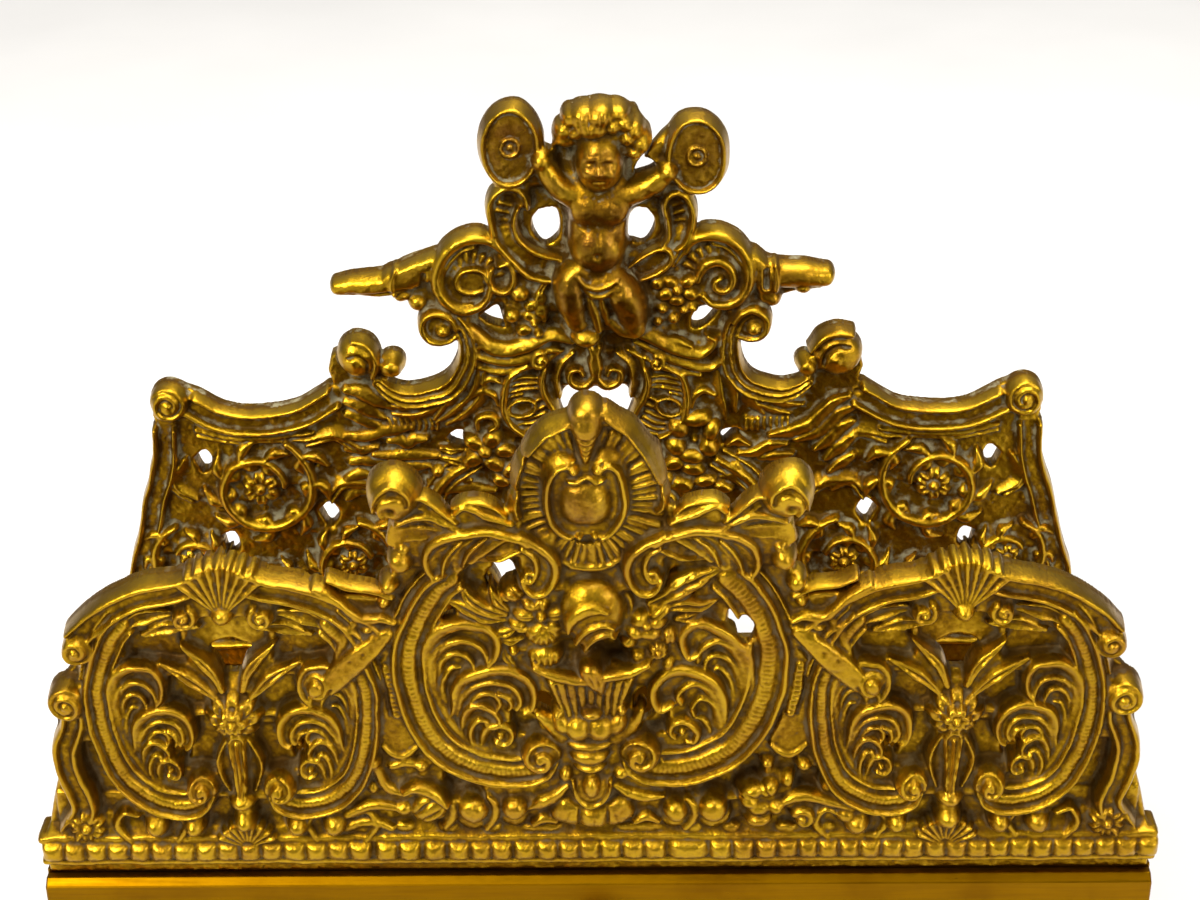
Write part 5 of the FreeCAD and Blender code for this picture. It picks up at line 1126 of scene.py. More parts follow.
    # wave scroll with its strands, left
    L([(430, 317), (442, 315), (453, 321), (462, 332), (467, 346), (468, 362), (463, 376), (454, 388), (439, 397), (420, 402), (401, 402), (386, 395), (377, 387)],
      [1.4, 1.8, 2.1, 2.4, 2.7, 2.9, 3.0, 3.0, 2.9, 2.7, 2.3, 1.6], [9.6, 10.0, 10.2, 10.2, 10.2, 10.0, 9.8, 9.4], 6.0, "reed3", m=0)
    for pts, w_, tp in (([(474, 338), (477, 360), (471, 383), (458, 399), (446, 411), (434, 424)], [0.8, 1.2, 1.5, 1.5, 1.2, 0.4], [8.8, 9.2, 9.2, 9.0, 7.8]),
                        ([(481, 362), (480, 380), (472, 399), (456, 414), (436, 427)], [0.8, 1.2, 1.3, 1.1, 0.4], [8.6, 8.8, 8.6, 7.6]),
                        ([(486, 376), (486, 392), (477, 407), (462, 420), (447, 428)], [0.8, 1.1, 1.2, 1.0, 0.4], [8.2, 8.4, 8.2, 7.4]),
                        ([(452, 399), (436, 407), (420, 411), (402, 412), (384, 411)], [0.9, 1.4, 1.5, 1.3, 0.4], [8.8, 9.0, 8.6, 7.6]),
                        ([(444, 408), (428, 416), (412, 420), (392, 418)], [0.8, 1.2, 1.2, 0.4], [8.4, 8.4, 7.4])):
        L(pts, [1.25 * q for q in w_], tp, 5.6, "foldr", m=0)
    # right
    L([(764, 315), (752, 313), (741, 319), (734, 330), (731, 345), (731, 361), (736, 376), (746, 388), (761, 395), (781, 398), (799, 393), (809, 386)],
      [1.4, 1.8, 2.1, 2.4, 2.7, 2.9, 3.0, 3.0, 2.9, 2.6, 2.2, 1.5], [9.6, 10.0, 10.2, 10.2, 10.2, 10.0, 9.8, 9.4], 6.0, "reed3", m=0)
    for pts, w_, tp in (([(724, 340), (722, 362), (727, 384), (733, 400), (736, 416)], [0.8, 1.2, 1.4, 1.3, 0.4], [8.8, 9.2, 9.0, 8.0]),
                        ([(733, 378), (741, 394), (751, 406), (763, 418)], [0.8, 1.4, 1.4, 0.4], [8.8, 9.0, 8.8, 7.8]),
                        ([(717, 374), (718, 394), (723, 410), (726, 422)], [0.8, 1.1, 1.1, 0.4], [8.2, 8.4, 8.2, 7.4]),
                        ([(748, 395), (764, 404), (783, 408), (804, 408)], [0.9, 1.4, 1.4, 0.4], [8.8, 9.0, 8.6, 7.6]),
                        ([(758, 408), (772, 414), (790, 417)], [0.8, 1.2, 0.4], [8.4, 8.4, 7.4])):
        L(pts, [1.25 * q for q in w_], tp, 5.6, "fold", m=0)
    # volutes and wing rolls
    for m_, c, eye in ((0, (439, 333), (442, 334)), (0, (752, 329), (755, 332))):
        D(c, 4.2, 4.0, 9.0, 5.5, m=m_, p=4.0)
    L([(456, 340), (449, 345), (438, 346), (428, 342), (422, 333), (423, 322), (431, 316), (442, 316), (452, 322), (456, 331)],
      [0.8, 1.0, 1.2, 1.3, 1.3, 1.3, 1.2, 1.1, 0.9], [9.6, 10.2, 10.8, 11.0, 11.0, 11.0, 10.8], 6.0, m=0)
    D((442, 334), 2.2, 2.1, 11.4, 7.0, m=0)
    L([(738, 339), (748, 342), (758, 340), (766, 333), (768, 322), (761, 315), (751, 312), (741, 316), (735, 324)],
      [0.8, 1.0, 1.2, 1.3, 1.3, 1.3, 1.2, 1.0], [9.6, 10.2, 10.8, 11.0, 11.0, 11.0, 10.8], 6.0, m=0)
    D((755, 331), 2.2, 2.1, 11.4, 7.0, m=0)
    D((389, 371), 3.3, 3.2, 10.8, 6.0, m=0)
    L([(400, 378), (400, 366), (389, 361), (379, 367), (380, 375)], [0.4, 0.6, 0.6, 0.4], 1.1, cut=True, hh=10.4, m=0)
    D((356, 364), 5.2, 5.4, 11.8, 6.0, m=0)
    L([(372, 380), (376, 366), (368, 350), (352, 344)], [0.8, 1.2, 1.2, 0.8], 10.4, 6.0, m=0)
    L([(366, 378), (366, 364), (356, 357), (347, 360)], [0.4, 0.6, 0.6, 0.4], 1.1, cut=True, hh=11.2, m=0)
    D((808, 370), 2.8, 2.8, 10.6, 6.0, m=0)
    L([(798, 376), (799, 366), (808, 361), (817, 367), (816, 374)], [0.4, 0.6, 0.6, 0.4], 1.1, cut=True, hh=10.2, m=0)
    D((840, 360), 5.8, 5.4, 11.4, 6.0, m=0, p=2.4)
    L([(812, 354), (824, 341), (838, 336), (853, 337)], [0.8, 1.2, 1.3, 1.0], 10.6, 6.0, m=0)
    L([(824, 368), (828, 356), (838, 349), (850, 350)], [0.5, 0.7, 0.7, 0.5], 1.5, cut=True, hh=11.0, m=0)
    D((838, 363), 2.3, 2.2, 12.0, 7.0, m=0)

    # garland of folded leaves under the figure
    for pts, w_, tp, pr in (([(572, 344), (551, 338), (535, 344), (520, 350), (505, 353), (490, 350), (478, 340), (462, 324)], [1.1, 1.8, 2.1, 2.2, 2.2, 2.0, 1.8, 1.2],
                             [9.8, 10.2, 10.2, 10.0, 9.8, 9.4], "lobe"),
                            ([(558, 353), (540, 355), (522, 361), (505, 364), (490, 361), (479, 357), (480, 350), (488, 351)], [0.9, 1.6, 1.9, 1.9, 1.7, 1.4, 1.1, 0.8],
                             [9.2, 9.4, 9.4, 9.4, 9.8, 10.0], "lobe"),
                            ([(548, 363), (530, 367), (512, 372), (495, 373), (479, 369)], [0.7, 1.3, 1.5, 1.3, 0.7], 8.8, "lobe"),
                            ([(628, 334), (645, 337), (665, 346), (685, 354), (700, 357), (709, 352), (714, 344), (708, 340)], [1.1, 1.9, 2.2, 2.2, 2.0, 1.6, 1.2, 0.9],
                             [9.8, 10.2, 10.2, 10.0, 10.0, 10.2], "lober"),
                            ([(636, 345), (660, 356), (684, 365), (700, 370), (714, 369), (722, 360), (721, 350)], [0.8, 1.5, 1.7, 1.5, 1.3, 1.1, 0.8],
                             [9.2, 9.4, 9.4, 9.6, 9.8], "lober"),
                            ([(645, 360), (663, 368), (684, 374), (702, 377)], [0.7, 1.3, 1.3, 0.6], 8.8, "lober"),
                            ([(655, 340), (676, 342), (692, 348)], [0.7, 1.3, 0.6], 9.2, "lober")):
        L(pts, w_, tp, 5.5, pr, m=0)
    f.curl((541, 364), 2.2, 1.2, 80, -1, [1.0, 0.8], [9.8, 10.2], 5.5, m=0)
    f.curl((656, 366), 2.0, 1.1, 100, 1, [0.9, 0.7], [9.4, 9.6], 5.5, m=0)

    # flowers on both sides of the figure
    W([(500, 280), (530, 275), (545, 300), (548, 335), (525, 340), (508, 332), (500, 305)], 5.4, m=0)
    L([(499, 268), (508, 266), (513, 275), (512, 288), (504, 295), (494, 292), (489, 281), (491, 272)], [0.8, 1.0, 1.2, 1.2, 1.2, 1.1, 0.9], 10.0, 5.5, m=0)
    D((519, 297), 2.6, 2.4, 10.8, 6.0, m=0)
    D((511, 319), 2.2, 2.2, 10.4, 6.0, m=0)
    for c, rx, rz, r in (((531, 308), 2.2, 1.8, 0.6), ((541, 313), 2.0, 2.2, 0.0), ((529, 319), 2.0, 1.6, -0.4), ((524, 333), 2.2, 1.6, 0.2), ((540, 300), 1.8, 2.2, 0.3)):
        D(c, rx, rz, 10.0, 6.0, rot=r, m=0, p=2.3)
        f.lift(c, 0.9, 0.7, -0.6, rot=r, m=0, hh=10.0)
    D((534, 326), 1.2, 1.2, 10.8, 7.0, m=0)
    D((538, 336), 1.2, 1.2, 10.6, 7.0, m=0)
    L([(546, 284), (540, 296), (544, 322)], [0.8, 1.5, 0.8], 9.6, 5.5, "leaf", m=0)
    W([(650, 282), (690, 275), (702, 296), (692, 312), (690, 330), (655, 332), (648, 305)], 5.4, m=0)
    for c, rx, rz, r in (((666, 297), 2.6, 1.8, 0.4), ((677, 303), 2.4, 1.7, -0.1), ((688, 285), 2.4, 1.8, 0.6), ((691, 297), 2.4, 1.8, -0.4), ((672, 285), 2.4, 1.7, -0.4),
                         ((658, 287), 1.8, 1.8, 0.0)):
        D(c, rx, rz, 10.6, 6.0, rot=r, m=0, p=2.3)
        f.lift(c, 1.0, 0.7, -0.6, rot=r, m=0, hh=10.4)
    D((678, 293), 1.6, 1.6, 11.2, 7.0, m=0)
    D((663, 311), 1.7, 1.7, 10.2, 6.0, m=0)
    D((674, 321), 1.9, 1.9, 10.4, 6.0, m=0)
    D((693, 310), 1.6, 1.6, 10.2, 6.0, m=0)
    D((684, 312), 1.4, 1.4, 10.0, 6.0, m=0)
    D((658, 324), 1.5, 1.5, 9.8, 6.0, m=0)

    # side scrolls of the crest
    W([(440, 262), (470, 242), (500, 256), (500, 300), (480, 312), (452, 306)], 6.0, m=0)
    f.fan((470, 284), 3.6, 7.6, 10, 215, 13, 7.8, 5.6, m=0, fill=0.8)
    L([(500, 252), (490, 244), (475, 241), (460, 244), (447, 253), (439, 266), (436, 280), (438, 293), (446, 305), (458, 312), (470, 313), (480, 309), (488, 300), (490, 292)],
      [1.2, 1.6, 1.8, 1.8, 1.8, 1.8, 1.8, 1.8, 1.7, 1.6, 1.5, 1.3, 1.0], [9.8, 10.4, 10.8, 10.8, 10.8, 10.6, 10.4, 10.2], 6.0, m=0)
    L([(474, 249), (462, 252), (453, 260), (446, 270), (443, 281), (445, 293), (452, 302), (462, 306), (473, 305)], [0.4, 0.55, 0.6, 0.6, 0.6, 0.5, 0.4], 9.4, 6.5, m=0)
    D((472, 284), 3.6, 3.3, 9.2, 6.8, p=8.0, m=0)
    L([(487, 283), (483, 274), (472, 271), (461, 275), (457, 284), (461, 292), (472, 295), (482, 292)], [0.5, 0.8, 0.9, 0.9, 0.9, 0.8, 0.6], 10.0, 6.5, m=0)
    W([(690, 258), (712, 239), (740, 254), (746, 285), (735, 302), (706, 300)], 6.0, m=0)
    f.fan((716, 280), 4.4, 8.2, -20, 160, 11, 7.8, 5.6, m=0, fill=0.8)
    L([(686, 255), (690, 247), (698, 241), (712, 238), (727, 241), (740, 250), (748, 263), (750, 278), (747, 292), (738, 303), (725, 308), (712, 306), (704, 298)],
      [1.2, 1.6, 1.8, 1.8, 1.8, 1.8, 1.8, 1.8, 1.8, 1.7, 1.6, 1.4, 1.0], [9.8, 10.4, 10.8, 10.8, 10.8, 10.6, 10.4, 10.2], 6.0, m=0)
    L([(712, 246), (725, 249), (737, 259), (743, 271), (744, 283), (740, 295), (730, 302), (718, 303)], [0.4, 0.55, 0.6, 0.6, 0.5, 0.4], 9.4, 6.5, m=0)
    L([(698, 283), (702, 273), (710, 266), (720, 264), (729, 269), (733, 279), (731, 288), (724, 293), (716, 290), (714, 283), (720, 279)],
      [1.1, 1.4, 1.6, 1.6, 1.5, 1.4, 1.2, 1.0, 0.9], [9.6, 10.0, 10.2, 10.4, 10.6], 6.0, m=0)

    # arms
    L([(436, 268), (420, 274), (405, 281), (392, 285)], [3.2, 3.4, 3.4, 3.2], [9.6, 9.8, 9.8, 9.6], 5.5, "flat", m=0)
    L([(394, 287), (375, 289), (358, 290), (344, 291), (336, 292)], [3.3, 3.2, 3.0, 2.7, 2.0], [9.6, 9.6, 9.4, 9.0, 8.4], 5.5, m=0)
    L([(394, 274), (391, 285), (394, 298)], [0.7, 0.9, 0.7], 10.4, 6.5, m=0)
    L([(423, 275), (423, 290)], 0.7, 2.0, cut=True, m=0, hh=9.6)
    D((417, 306), 2.5, 2.3, 9.2, 5.4, m=0)
    D((401, 299), 2.2, 1.8, 9.0, 5.4, m=0)
    L([(408, 290), (385, 294), (360, 297), (346, 296)], [0.3, 0.45, 0.3], 0.7, cut=True, m=0, hh=9.2)
    L([(750, 264), (760, 274), (766, 284), (768, 298)], [3.0, 3.2, 3.2, 2.4], [9.8, 9.8, 9.6, 9.0], 5.5, "flat", m=0)
    L([(768, 276), (785, 279), (806, 280), (826, 281)], [3.4, 3.4, 3.3, 2.6], [9.8, 9.6, 9.4, 8.6], 5.5, m=0)
    L([(776, 267), (778, 280), (777, 293)], [0.7, 0.9, 0.7], 10.4, 6.5, m=0)
    L([(767, 271), (767, 289)], 0.75, 2.0, cut=True, m=0, hh=9.6)
    D((773, 302), 2.3, 2.2, 9.2, 5.4, m=0)
    D((803, 291), 2.2, 1.7, 9.0, 5.4, m=0)

    # fluted scoops
    rl = [(507, 203), (503, 220), (506, 238), (515, 252), (530, 265), (550, 272)]
    L(rl, [2.4, 2.9, 3.1, 3.2, 3.1, 2.4], 7.6, 5.0, "hollow", m=0, rib=(2.0, 1.3), hh=8.0)
    L([(495, 237), (490, 224), (488, 211), (491, 201), (498, 194), (508, 190), (518, 193), (525, 202), (527, 211)], [0.8, 1.0, 1.1, 1.1, 1.1, 1.1, 1.0, 0.8], 10.2, 5.5, m=0)
    L([(517, 212), (514, 224), (517, 236), (525, 247), (536, 255), (548, 259), (560, 262)], [0.7, 0.9, 1.0, 1.0, 1.0, 0.8], 9.8, 5.5, m=0)
    L([(491, 228), (495, 240), (504, 254), (515, 266), (529, 278), (544, 282), (561, 282)], [0.8, 1.1, 1.2, 1.2, 1.1, 0.9], 10.0, 5.5, m=0)
    L([(561, 262), (564, 272), (561, 282)], 0.7, 9.8, 5.5, m=0)
    rr = [(677, 203), (681, 218), (680, 234), (674, 246)]
    L(rr, [2.2, 2.8, 2.8, 2.2], 7.6, 5.0, "hollow", m=0, rib=(2.0, 1.3), hh=8.0)
    L([(666, 218), (665, 206), (670, 198), (678, 195), (686, 199), (692, 210), (693, 222), (691, 235), (686, 246), (678, 252)], [0.8, 1.0, 1.1, 1.1, 1.1, 1.1, 1.0, 0.8],
      10.2, 5.5, m=0)
    L([(667, 212), (669, 226), (669, 240), (663, 249)], [0.7, 0.9, 0.9, 0.7], 9.8, 5.5, m=0)
    rr = [(668, 259), (654, 265), (640, 270), (629, 274)]
    L(rr, [2.0, 2.7, 2.6, 1.9], 7.6, 5.0, "hollow", m=0, rib=(2.0, 1.3), hh=8.0)
    L([(627, 270), (632, 278), (641, 281), (655, 277), (668, 268), (672, 259), (668, 252), (660, 251), (650, 255), (639, 261), (629, 268)],
      [0.7, 0.9, 1.0, 1.0, 1.0, 1.0, 1.0, 0.9, 0.7], 10.0, 5.5, m=0)
    L([(686, 246), (680, 256), (674, 268)], [0.8, 1.5, 0.6], 9.6, 5.5, "leaf", m=0)

    # cymbals
    for c, rx, rz, rot in (((510, 147), 6.7, 9.7, -0.08), ((697, 156), 6.9, 9.3, 0.08)):
        q = f.px([c], 8.8)[0]
        D((q[0], q[1] - 0.2), rx + 0.9, rz + 0.8, 6.4, 5.4, rot=rot, p=6.0, m=0, mm=True)
        D((q[0], q[1]), rx, rz, 9.0, 8.0, rot=rot, p=4.0, m=0, mm=True)
        t = np.radians(np.linspace(0, 360, 61))
        for sc, w_, tp in ((0.93, 0.75, 10.4), (0.30, 0.5, 10.0)):
            u, v = rx * sc * np.cos(t), rz * sc * np.sin(t) * (0.72 if sc < 0.5 else 1.0)
            ring = np.stack([q[0] + u * math.cos(rot) - v * math.sin(rot), q[1] + u * math.sin(rot) + v * math.cos(rot)], 1)
            L(ring, w_, tp, 8.0, m=0, mm=True)
        D((q[0], q[1]), 0.8, 0.8, 9.8, 8.6, m=0, mm=True)
        f.stain((q[0], q[1]), rx * 0.9, rz * 0.9, 1.0, rot=rot, mm=True)
        f.behind((q[0], q[1] + 4), 6.0, 7.0, 2.0, m=0, mm=True)

    # child figure: trunk first, so that the limbs overlap it
    L([(600, 204), (598, 232), (597, 258), (598, 277)], [7.4, 7.0, 6.8, 5.8], [13.4, 13.8, 14.6, 13.8], 8.0, m=0, k=1.0, hh=13.8)
    D((588, 214), 4.2, 3.4, 14.3, 11.5, m=0, k=2.2, grow=None)
    D((611, 214), 4.2, 3.4, 14.3, 11.5, m=0, k=2.2, grow=None)
    D((597, 256), 5.8, 5.2, 15.6, 11.0, m=0, k=2.2, grow=None)
    f.cuts([[(577, 227), (587, 232), (597, 229)], [(602, 229), (612, 232), (622, 226)]], 0.55, 0.3, 14.2, m=0)
    f.lift((597, 257), 0.6, 0.8, -0.8, m=0, hh=15)
    f.lift((599, 240), 0.5, 3.0, -0.3, m=0, hh=14)
    f.stain((599, 238), 8.0, 11.5, 0.95, hh=14)
    # arms
    L([(579, 202), (563, 194), (550, 181), (541, 165)], [3.7, 3.4, 3.0, 2.4], [13.2, 12.8, 12.4, 11.6], 7.5, m=0, k=1.2)
    D((541, 165), 2.7, 2.8, 12.8, 8.0, m=0, k=0.6)
    L([(620, 202), (639, 195), (655, 187), (668, 177)], [3.7, 3.4, 3.1, 2.5], [13.2, 12.8, 12.4, 11.8], 7.5, m=0, k=1.2)
    D((668, 176), 2.7, 2.6, 12.8, 8.0, m=0, k=0.6)
    f.stain((555, 188), 4.0, 3.5, 0.5, hh=12)
    f.stain((650, 191), 4.0, 3.0, 0.5, hh=12)
    # legs
    L([(582, 277), (572, 285), (571, 304), (577, 329)], [3.8, 4.3, 4.1, 2.9], [14.6, 16.0, 15.2, 13.2], 8.5, m=0, k=0.8)
    D((586, 343), 3.8, 2.7, 13.8, 8.5, m=0, k=0.6)
    f.cuts([[(596, 345), (601, 349)], [(591, 348), (595, 352)]], 0.3, 0.5, 13.0, m=0)
    L([(611, 285), (622, 297), (630, 313), (634, 330)], [4.0, 4.7, 4.5, 3.3], [14.6, 16.0, 15.4, 13.8], 8.5, m=0, k=0.8)
    L([(635, 333), (622, 331), (610, 322)], [2.7, 2.3, 1.7], [13.2, 12.6, 12.0], 8.5, m=0, k=0.7)
    f.stain((572, 302), 4.8, 9.0, 0.95, hh=14)
    f.stain((627, 309), 5.6, 9.0, 0.95, hh=14)
    # drape over the lap
    D((597, 290), 5.4, 3.4, 14.8, 9.5, m=0, k=0.9, p=2.6)
    for pts, w_, tp in (([(577, 279), (588, 288), (602, 290), (618, 283)], [0.8, 1.2, 1.2, 0.8], [15.4, 15.6, 15.6, 15.2]),
                        ([(584, 289), (594, 298), (606, 297), (614, 291)], [0.8, 1.1, 1.1, 0.7], [15.2, 15.2, 15.2, 15.0]),
                        ([(590, 298), (594, 314), (599, 333)], [1.2, 1.9, 1.2], [14.4, 13.6, 12.4]),
                        ([(601, 299), (604, 312), (608, 326)], [1.1, 1.6, 0.9], [14.2, 13.4, 12.2])):
        L(pts, w_, tp, 9.5, m=0, k=0.6)
    # hair: a rounded cap of locks
    D((600, 130), 9.4, 6.4, 13.2, 7.0, m=0, p=2.0)
    D((635, 144), 3.8, 5.0, 13.0, 7.5, m=0, k=0.9)
    D((566, 139), 3.4, 3.6, 13.0, 7.5, m=0, k=0.9)
    for c, rx, rz, tp, r in (((571, 122), 2.8, 2.6, 14.8, 0.5), ((563, 134), 2.3, 2.5, 14.2, 0.3), ((575, 136), 2.4, 2.2, 15.2, -0.3), ((618, 117), 2.8, 2.5, 14.6, -0.4),
                             ((624, 128), 2.7, 2.5, 15.2, -0.6), ((634, 134), 2.5, 2.8, 14.6, -0.5), ((627, 142), 2.4, 2.2, 15.0, -0.6), ((641, 148), 2.3, 2.8, 13.8, -0.4),
                             ((635, 156), 2.2, 2.0, 13.6, 0.3), ((613, 130), 2.3, 2.6, 15.8, -0.3)):
        D(c, rx, rz, tp, 9.5, rot=r, m=0, k=0.5)
    f.cuts([[(581, 120), (571, 128), (568, 140)], [(614, 122), (626, 132), (634, 145)], [(621, 136), (629, 147), (637, 158)]], 0.32, 0.5, 14.4, m=0)
    # face, of a general child's proportions
    q = f.px([(599, 169)], 15.5)[0]
    D((q[0], q[1]), 5.5, 7.6, 16.4, 9.5, p=2.6, m=0, mm=True, k=0.5)
    for x, z, rx, rz, a in ((2.0, 0.9, 1.5, 1.0, -0.95), (2.0, 0.75, 0.85, 0.5, 0.6), (2.1, 2.2, 1.7, 0.55, 0.4), (2.9, -1.6, 1.5, 1.5, 0.65)):
        for sgn in (-1, 1):
            f.lift((q[0] + sgn * x, q[1] + z), rx, rz, a, m=0, mm=True)
    for x, z, rx, rz, a in ((0, 0.7, 0.55, 1.7, 0.65), (0, -0.9, 0.85, 0.75, 1.15), (0, -2.5, 1.2, 0.36, 0.4), (0, -2.95, 1.35, 0.24, -0.65),
                            (0, -3.4, 1.0, 0.4, 0.5), (0, -4.3, 1.2, 0.35, -0.25), (0, -5.1, 1.35, 0.95, 0.65)):
        f.lift((q[0] + x, q[1] + z), rx, rz, a, m=0, mm=True)
    f.stain((599, 167), 5.2, 6.5, 0.75, hh=15)
    D((583, 124), 3.7, 3.5, 16.6, 11.0, m=0, k=0.7)
    D((599, 122), 3.9, 3.5, 17.0, 11.0, m=0, k=0.7)
    D((591, 133), 4.4, 2.7, 16.9, 12.0, m=0, k=0.7)
    f.cuts([[(580, 114), (578, 124), (581, 137)], [(588, 113), (588, 125), (589, 139)], [(599, 111), (601, 123), (600, 137)], [(607, 115), (609, 124), (606, 134)]],
           0.32, 0.55, 16.4, m=0)
    f.stain((592, 128), 5.0, 4.5, 0.5, hh=16)
    f.hole([(729, 607), (760, 605), (764, 642), (733, 644)], m=0, h=7.0)
    return f


# ------------------------------------------------------------------ materials
class Nodes:
    def __init__(s, name):
        s.mat = bpy.data.materials.new(name)
        s.mat.use_nodes = True
        s.t = s.mat.node_tree
        s.t.nodes.clear()
        s.out = s.t.nodes.new("ShaderNodeOutputMaterial")
        s.bsdf = s.t.nodes.new("ShaderNodeBsdfPrincipled")
        s.t.links.new(s.bsdf.outputs[0], s.out.inputs[0])
        co = s.t.nodes.new("ShaderNodeTexCoord")
        s.obj = co.outputs["Object"]

    def link(s, a, b):
        s.t.links.new(a, b)

    def noise(s, scale, detail=4.0, rough=0.55, vec=None, distort=0.0):
        n = s.t.nodes.new("ShaderNodeTexNoise")
        n.inputs["Scale"].default_value = scale
        n.inputs["Detail"].default_value = detail
        n.inputs["Roughness"].default_value = rough
        n.inputs["Distortion"].default_value = distort
        s.link(vec or s.obj, n.inputs["Vector"])
        return n.outputs[0]

    def ramp(s, fac, stops, interp="LINEAR"):
        n = s.t.nodes.new("ShaderNodeValToRGB")
        n.color_ramp.interpolation = interp
        while len(n.color_ramp.elements) < len(stops):
            n.color_ramp.elements.new(0.5)
        for e, (p, c) in zip(n.color_ramp.elements, stops):
            e.position = p
            e.color = (c, c, c, 1.0) if isinstance(c, (int, float)) else (*c, 1.0)
        s.link(fac, n.inputs[0])
        return n.outputs[0]

    def math(s, op, a, b=None, clamp=False):
        n = s.t.nodes.new("ShaderNodeMath")
        n.operation = op
        n.use_clamp = clamp
        for i, v in enumerate((a, b)):
            if v is None:
                continue
            if isinstance(v, (int, float)):
                n.inputs[i].default_value = v
            else:
                s.link(v, n.inputs[i])
        return n.outputs[0]

    def mix(s, fac, a, b, blend="MIX"):
        n = s.t.nodes.new("ShaderNodeMix")
        n.data_type = "RGBA"
        n.blend_type = blend
        if isinstance(fac, float):
            n.inputs[0].default_value = fac
        else:
            s.link(fac, n.inputs[0])
        for i, v in ((6, a), (7, b)):
            if isinstance(v, tuple):
                n.inputs[i].default_value = (*v, 1.0)
            else:
                s.link(v, n.inputs[i])
        return n.outputs[2]

    def bump(s, height, strength, dist):
        n = s.t.nodes.new("ShaderNodeBump")
        n.inputs["Strength"].default_value = strength
        n.inputs["Distance"].default_value = dist
        s.link(height, n.inputs["Height"])
        s.link(n.outputs[0], s.bsdf.inputs["Normal"])

    def stretch(s, x, y, z):
        n = s.t.nodes.new("ShaderNodeMapping")
        n.inputs["Scale"].default_value = (x, y, z)
        s.link(s.obj, n.inputs["Vector"])
        return n.outputs[0]


def gilt_casting():
    m = Nodes("gilt_casting")
    a = m.t.nodes.new("ShaderNodeAttribute")
    a.attribute_name = "hollows_for_grime_and_shade"
    sep = m.t.nodes.new("ShaderNodeSeparateColor")
    m.link(a.outputs["Color"], sep.inputs[0])
    cav, deep, side = sep.outputs[0], sep.outputs[1], sep.outputs[2]
    st = m.t.nodes.new("ShaderNodeAttribute")
    st.attribute_name = "stain"
    stain = st.outputs["Fac"]
    grain = m.noise(520.0, 6.0, 0.68)
    fine = m.noise(1700.0, 3.0, 0.6)
    blot = m.noise(85.0, 5.0, 0.62)
    broad = m.noise(24.0, 3.0, 0.5)
    # 0 on worn crests, 1 in the deepest corners: grime in the hollows, and painted shade in hollows, on flats and on
    # side walls
    grime_and_shade = m.math("ADD", m.math("MULTIPLY", m.math("SUBTRACT", cav, 0.5), 0.85), m.math("MULTIPLY", m.math("SUBTRACT", deep, 0.5), 0.4))
    grime_and_shade = m.math("ADD", grime_and_shade, m.math("MULTIPLY", m.math("SUBTRACT", grain, 0.5), 0.55))
    grime_and_shade = m.math("ADD", grime_and_shade, m.math("MULTIPLY", m.math("SUBTRACT", blot, 0.5), 0.35))
    # walls facing sideways are painted a little darker: painted shade, with some residue
    grime_and_shade = m.math("ADD", grime_and_shade, m.math("MULTIPLY", m.ramp(side, [(0.6, 0.0), (1.0, 1.0)]), 0.10))
    grime_and_shade = m.math("ADD", grime_and_shade, 0.5, clamp=True)
    gold = m.ramp(broad, [(0.3, (0.285, 0.164, 0.004)), (0.5, (0.345, 0.204, 0.006)), (0.7, (0.39, 0.242, 0.011))])
    worn = m.ramp(blot, [(0.44, 0.0), (0.68, 1.0)])
    gold = m.mix(m.math("MULTIPLY", worn, 0.6), gold, (0.25, 0.115, 0.008))
    tarn = m.math("MULTIPLY", stain, m.ramp(m.noise(150.0, 5.0, 0.7), [(0.34, 0.25), (0.62, 1.0)]))
    gold = m.mix(m.math("MULTIPLY", tarn, 0.9), gold, (0.13, 0.05, 0.008))
    # painted highlight on convex crests (factors above 1) and painted shade darkening flats, recesses and side walls,
    # on top of real grime in the hollows
    grime_shade_and_crest_light = m.ramp(grime_and_shade, [(0.28, (1.24, 1.22, 1.12)), (0.42, (0.98, 0.94, 0.86)), (0.52, (0.76, 0.69, 0.56)), (0.66, (0.52, 0.45, 0.33)), (0.85, (0.27, 0.22, 0.13))])
    col = m.mix(1.0, gold, grime_shade_and_crest_light, "MULTIPLY")
    chalk = m.math("MULTIPLY", m.ramp(grime_and_shade, [(0.61, 0.0), (0.79, 1.0)]), m.ramp(m.noise(230.0, 4.0, 0.65), [(0.46, 0.0), (0.62, 1.0)]))
    du = m.t.nodes.new("ShaderNodeAttribute")
    du.attribute_name = "dust_and_shade"
    chalk = m.math("MULTIPLY", chalk, m.math("MULTIPLY", du.outputs["Fac"], 0.8))
    col = m.mix(chalk, col, (0.27, 0.245, 0.14))
    # where the value is below 1 (the front casting) the whole colour is painted about a tenth darker: painted shade, as
    # that casting stands in more light
    col = m.mix(m.math("SUBTRACT", 1.0, du.outputs["Fac"], clamp=True), col, m.mix(1.0, col, (0.88, 0.87, 0.86), "MULTIPLY"))
    m.link(col, m.bsdf.inputs["Base Color"])
    met = m.math("SUBTRACT", m.ramp(grime_and_shade, [(0.5, 1.0), (0.72, 0.95), (0.9, 0.8)]), m.math("MULTIPLY", chalk, 0.7), clamp=True)
    m.link(met, m.bsdf.inputs["Metallic"])
    rough = m.math("ADD", m.ramp(grime_and_shade, [(0.34, 0.34), (0.55, 0.45), (0.8, 0.63)]), m.math("MULTIPLY", m.math("SUBTRACT", grain, 0.5), 0.28))
    m.link(m.math("ADD", rough, m.math("MULTIPLY", chalk, 0.25), clamp=True), m.bsdf.inputs["Roughness"])
    m.link(m.ramp(grime_and_shade, [(0.34, 0.10), (0.55, 0.0)]), m.bsdf.inputs["Coat Weight"])
    m.bsdf.inputs["Coat Roughness"].default_value = 0.22
    m.bump(m.math("ADD", m.math("ADD", m.math("MULTIPLY", fine, 0.7), m.math("MULTIPLY", grain, 0.7)), m.math("MULTIPLY", blot, 0.5)), 0.4, 0.0003)
    return m.mat


